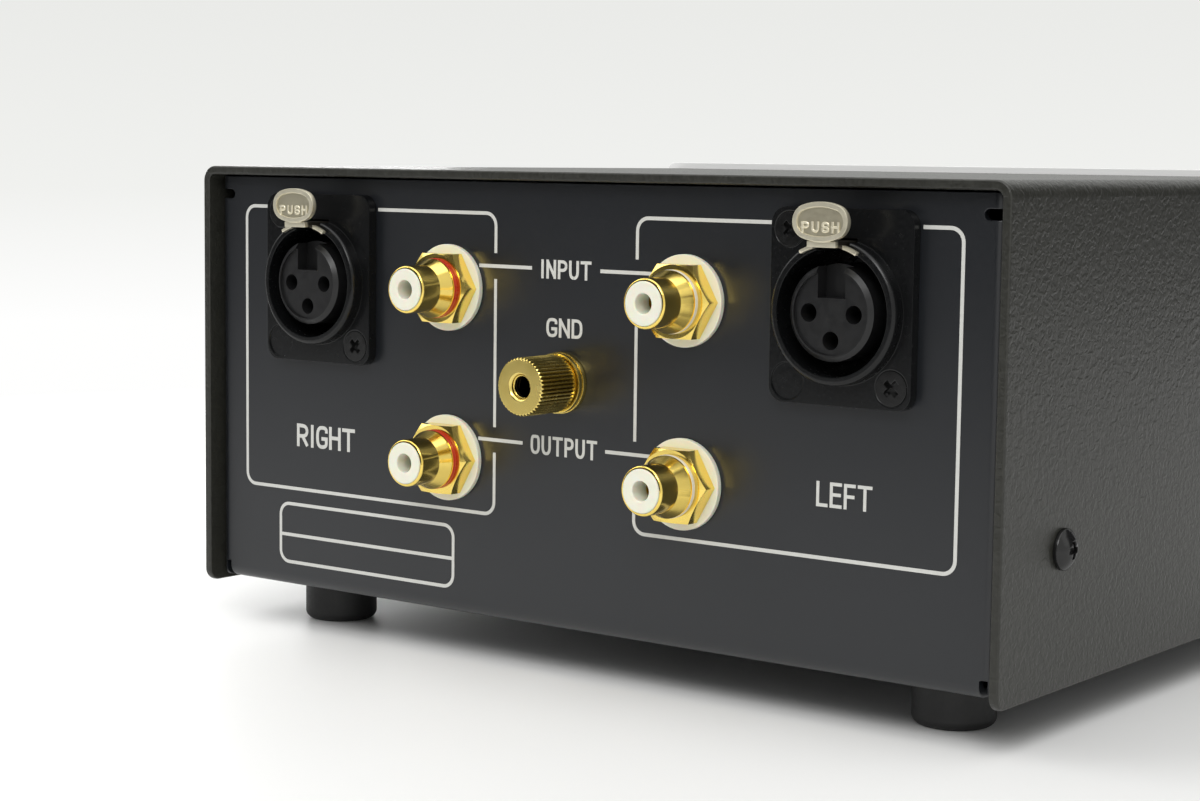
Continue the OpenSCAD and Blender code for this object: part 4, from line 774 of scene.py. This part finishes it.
WORM_FOOT, WORM_CREST, WORM_SHARE = 0.32, 0.70, 0.75
cover_paint = Finish("cover_paint", Specular_IOR_Level=0.42)
worms = cover_paint.place.noise(920, 1, 0.8)
pits = cover_paint.place.noise(2000, 1, 0.6)
height = worms.span(WORM_FOOT, WORM_CREST) * WORM_SHARE + pits * (1 - WORM_SHARE)
cover_paint.link(
    Base_Color=height.blend((0.019, 0.019, 0.0155), (0.029, 0.029, 0.024)),
    Roughness=pits.between(0.30, 0.42),
    Normal=height.bump(0.06))
rounded(cover_paint, 0.45, "cover", steps=3)
rounded(black_steel, 0.12, "cover_screws")

# Feet
# Four round feet, moulded from black rubber with a soft lower edge. A screw through the middle of
# each holds it to the chassis's floor.

rubber = mottled("foot_rubber", 1400, dark=(0.008, 0.008, 0.008), light=(0.015, 0.015, 0.015),
                 roughness=(0.50, 0.64), relief=0.012)
rounded(rubber, 0.3, "foot_rear_left", "foot_rear_right", "foot_front_left", "foot_front_right")
black_steel.paint("foot_screws")

# Studio
# A white table that fades into a pale wall, soft lamps above and around, and a low one that shines
# in under the case. Two black cards keep the panel and the case's side dark, and the camera is at
# the height of the case.


def studio_sheet(name, corners, finish):
    """A flat sheet that stands in the studio and isn't part of the object."""
    mesh = bpy.data.meshes.new(name)
    mesh.from_pydata(corners, [], [(0, 1, 2, 3)])
    mesh.materials.append(finish.material)
    sheet = bpy.data.objects.new(name, mesh)
    bpy.context.scene.collection.objects.link(sheet)
    return sheet


TABLE, FADE_START, FADE_END = 1.2, 0.22, 0.48
table_white = Finish("table_white", Roughness=0.55)
table_white.link(
    Base_Color=table_white.place.noise(14).blend((0.87, 0.87, 0.86), (0.90, 0.90, 0.89)),
    Alpha=table_white.place.length().fades(FADE_START, FADE_END))
corners = [(-TABLE, -TABLE, 0), (TABLE, -TABLE, 0), (TABLE, TABLE, 0), (-TABLE, TABLE, 0)]
studio_sheet("table_top", corners, table_white)

card_black = Finish("card_black", Roughness=0.9)
card_black.link(
    Base_Color=card_black.place.noise(30, 2).blend((0.020, 0.021, 0.023), (0.026, 0.027, 0.029)))
for name, start, end, low, high in (("black_card", (-1.4, -0.58), (0.12, -0.45), 0.0, 0.6),
                                    ("side_card", (0.16, 0.74), (0.95, 0.36), 0.02, 0.7)):
    corners = [(*start, low), (*end, low), (*end, high), (*start, high)]
    card = studio_sheet(name, corners, card_black)
    card.visible_camera = False
    card.visible_diffuse = False
    card.visible_shadow = False

WALL_FOOT, WALL_HEAD, WALL_LIGHT = -0.07, 0.06, 0.5
world = bpy.data.worlds.new("studio")
bpy.context.scene.world = world
world.use_nodes = True
sky = Wire(world.node_tree)
rise = sky.node("ShaderNodeTexCoord", output="Generated").part("Z").span(WALL_FOOT, WALL_HEAD)
tint = rise.node("ShaderNodeValToRGB", {"stops": [
    (0.0, (1.0, 1.0, 0.995)), (0.42, (0.875, 0.88, 0.86)), (1.0, (0.825, 0.83, 0.81))]}, {0: rise})
seen = sky.node("ShaderNodeBackground", None, {"Color": tint, "Strength": 1.0})
lit = sky.node("ShaderNodeBackground", None, {
    "Color": (0.90, 0.90, 0.89, 1), "Strength": WALL_LIGHT})
rays = sky.node("ShaderNodeLightPath").socket.node.outputs
camera_ray, glossy_ray, clear_ray = (Wire(world.node_tree, rays[f"Is {kind} Ray"])
                                     for kind in ("Camera", "Glossy", "Transmission"))
shown = sky.math("MAXIMUM", sky.math("MAXIMUM", camera_ray, glossy_ray), clear_ray)
backdrop = sky.node("ShaderNodeMixShader", None, {0: shown, 1: lit, 2: seen})
world.node_tree.links.new(backdrop.socket, world.node_tree.nodes["World Output"].inputs["Surface"])


def lamp(name, size, power, place, target):
    """A soft lamp of that size and power, turned to a target and hidden from the camera."""
    light = bpy.data.lights.new(name, "AREA")
    light.shape = "RECTANGLE"
    light.size, light.size_y = size
    light.energy = power
    holder = bpy.data.objects.new(name, light)
    holder.location = place
    aim = Vector(target) - Vector(place)
    holder.rotation_euler = aim.to_track_quat("-Z", "Y").to_euler()
    holder.visible_camera = False
    bpy.context.scene.collection.objects.link(holder)


lamp("top_lamp", (1.0, 0.8), 3.4, (0.05, -0.2, 1.0), (0, 0, 0.04))
lamp("key_lamp", (0.7, 0.6), 8.5, (0.5, -1.0, 0.95), (0, -0.08, 0.04))
lamp("fill_lamp", (1.0, 0.8), 5.5, (-0.95, -0.65, 0.75), (-0.03, -0.08, 0.02))
lamp("side_lamp", (0.5, 0.7), 0.4, (0.85, 0.2, 0.5), (0.05, 0, 0.04))
lamp("low_lamp", (0.4, 0.16), 1.4, (-0.65, 0.34, 0.12), (-0.07, -0.05, 0.0))

FILM_WIDTH, FOCAL_LENGTH, NEAREST = 36, 71.456, 0.01
yaw, pitch, roll = (math.radians(angle) for angle in (37.533, 5.874, 0.697))
eye = Vector((0.25238, -0.39663, 0.09054))
level = Vector((math.cos(yaw), math.sin(yaw), 0))
ahead = Vector((-math.sin(yaw) * math.cos(pitch), math.cos(yaw) * math.cos(pitch),
                -math.sin(pitch)))
upright = level.cross(ahead)
across = math.cos(roll) * level + math.sin(roll) * upright
upward = math.cos(roll) * upright - math.sin(roll) * level
lens = bpy.data.cameras.new("camera")
lens.sensor_width = FILM_WIDTH
lens.lens = FOCAL_LENGTH
lens.clip_start = NEAREST
camera = bpy.data.objects.new("camera", lens)
camera.matrix_world = Matrix((
    (across.x, upward.x, -ahead.x, eye.x),
    (across.y, upward.y, -ahead.y, eye.y),
    (across.z, upward.z, -ahead.z, eye.z),
    (0, 0, 0, 1)))
bpy.context.scene.collection.objects.link(camera)
bpy.context.scene.camera = camera
bpy.context.scene.view_settings.view_transform = "Standard"
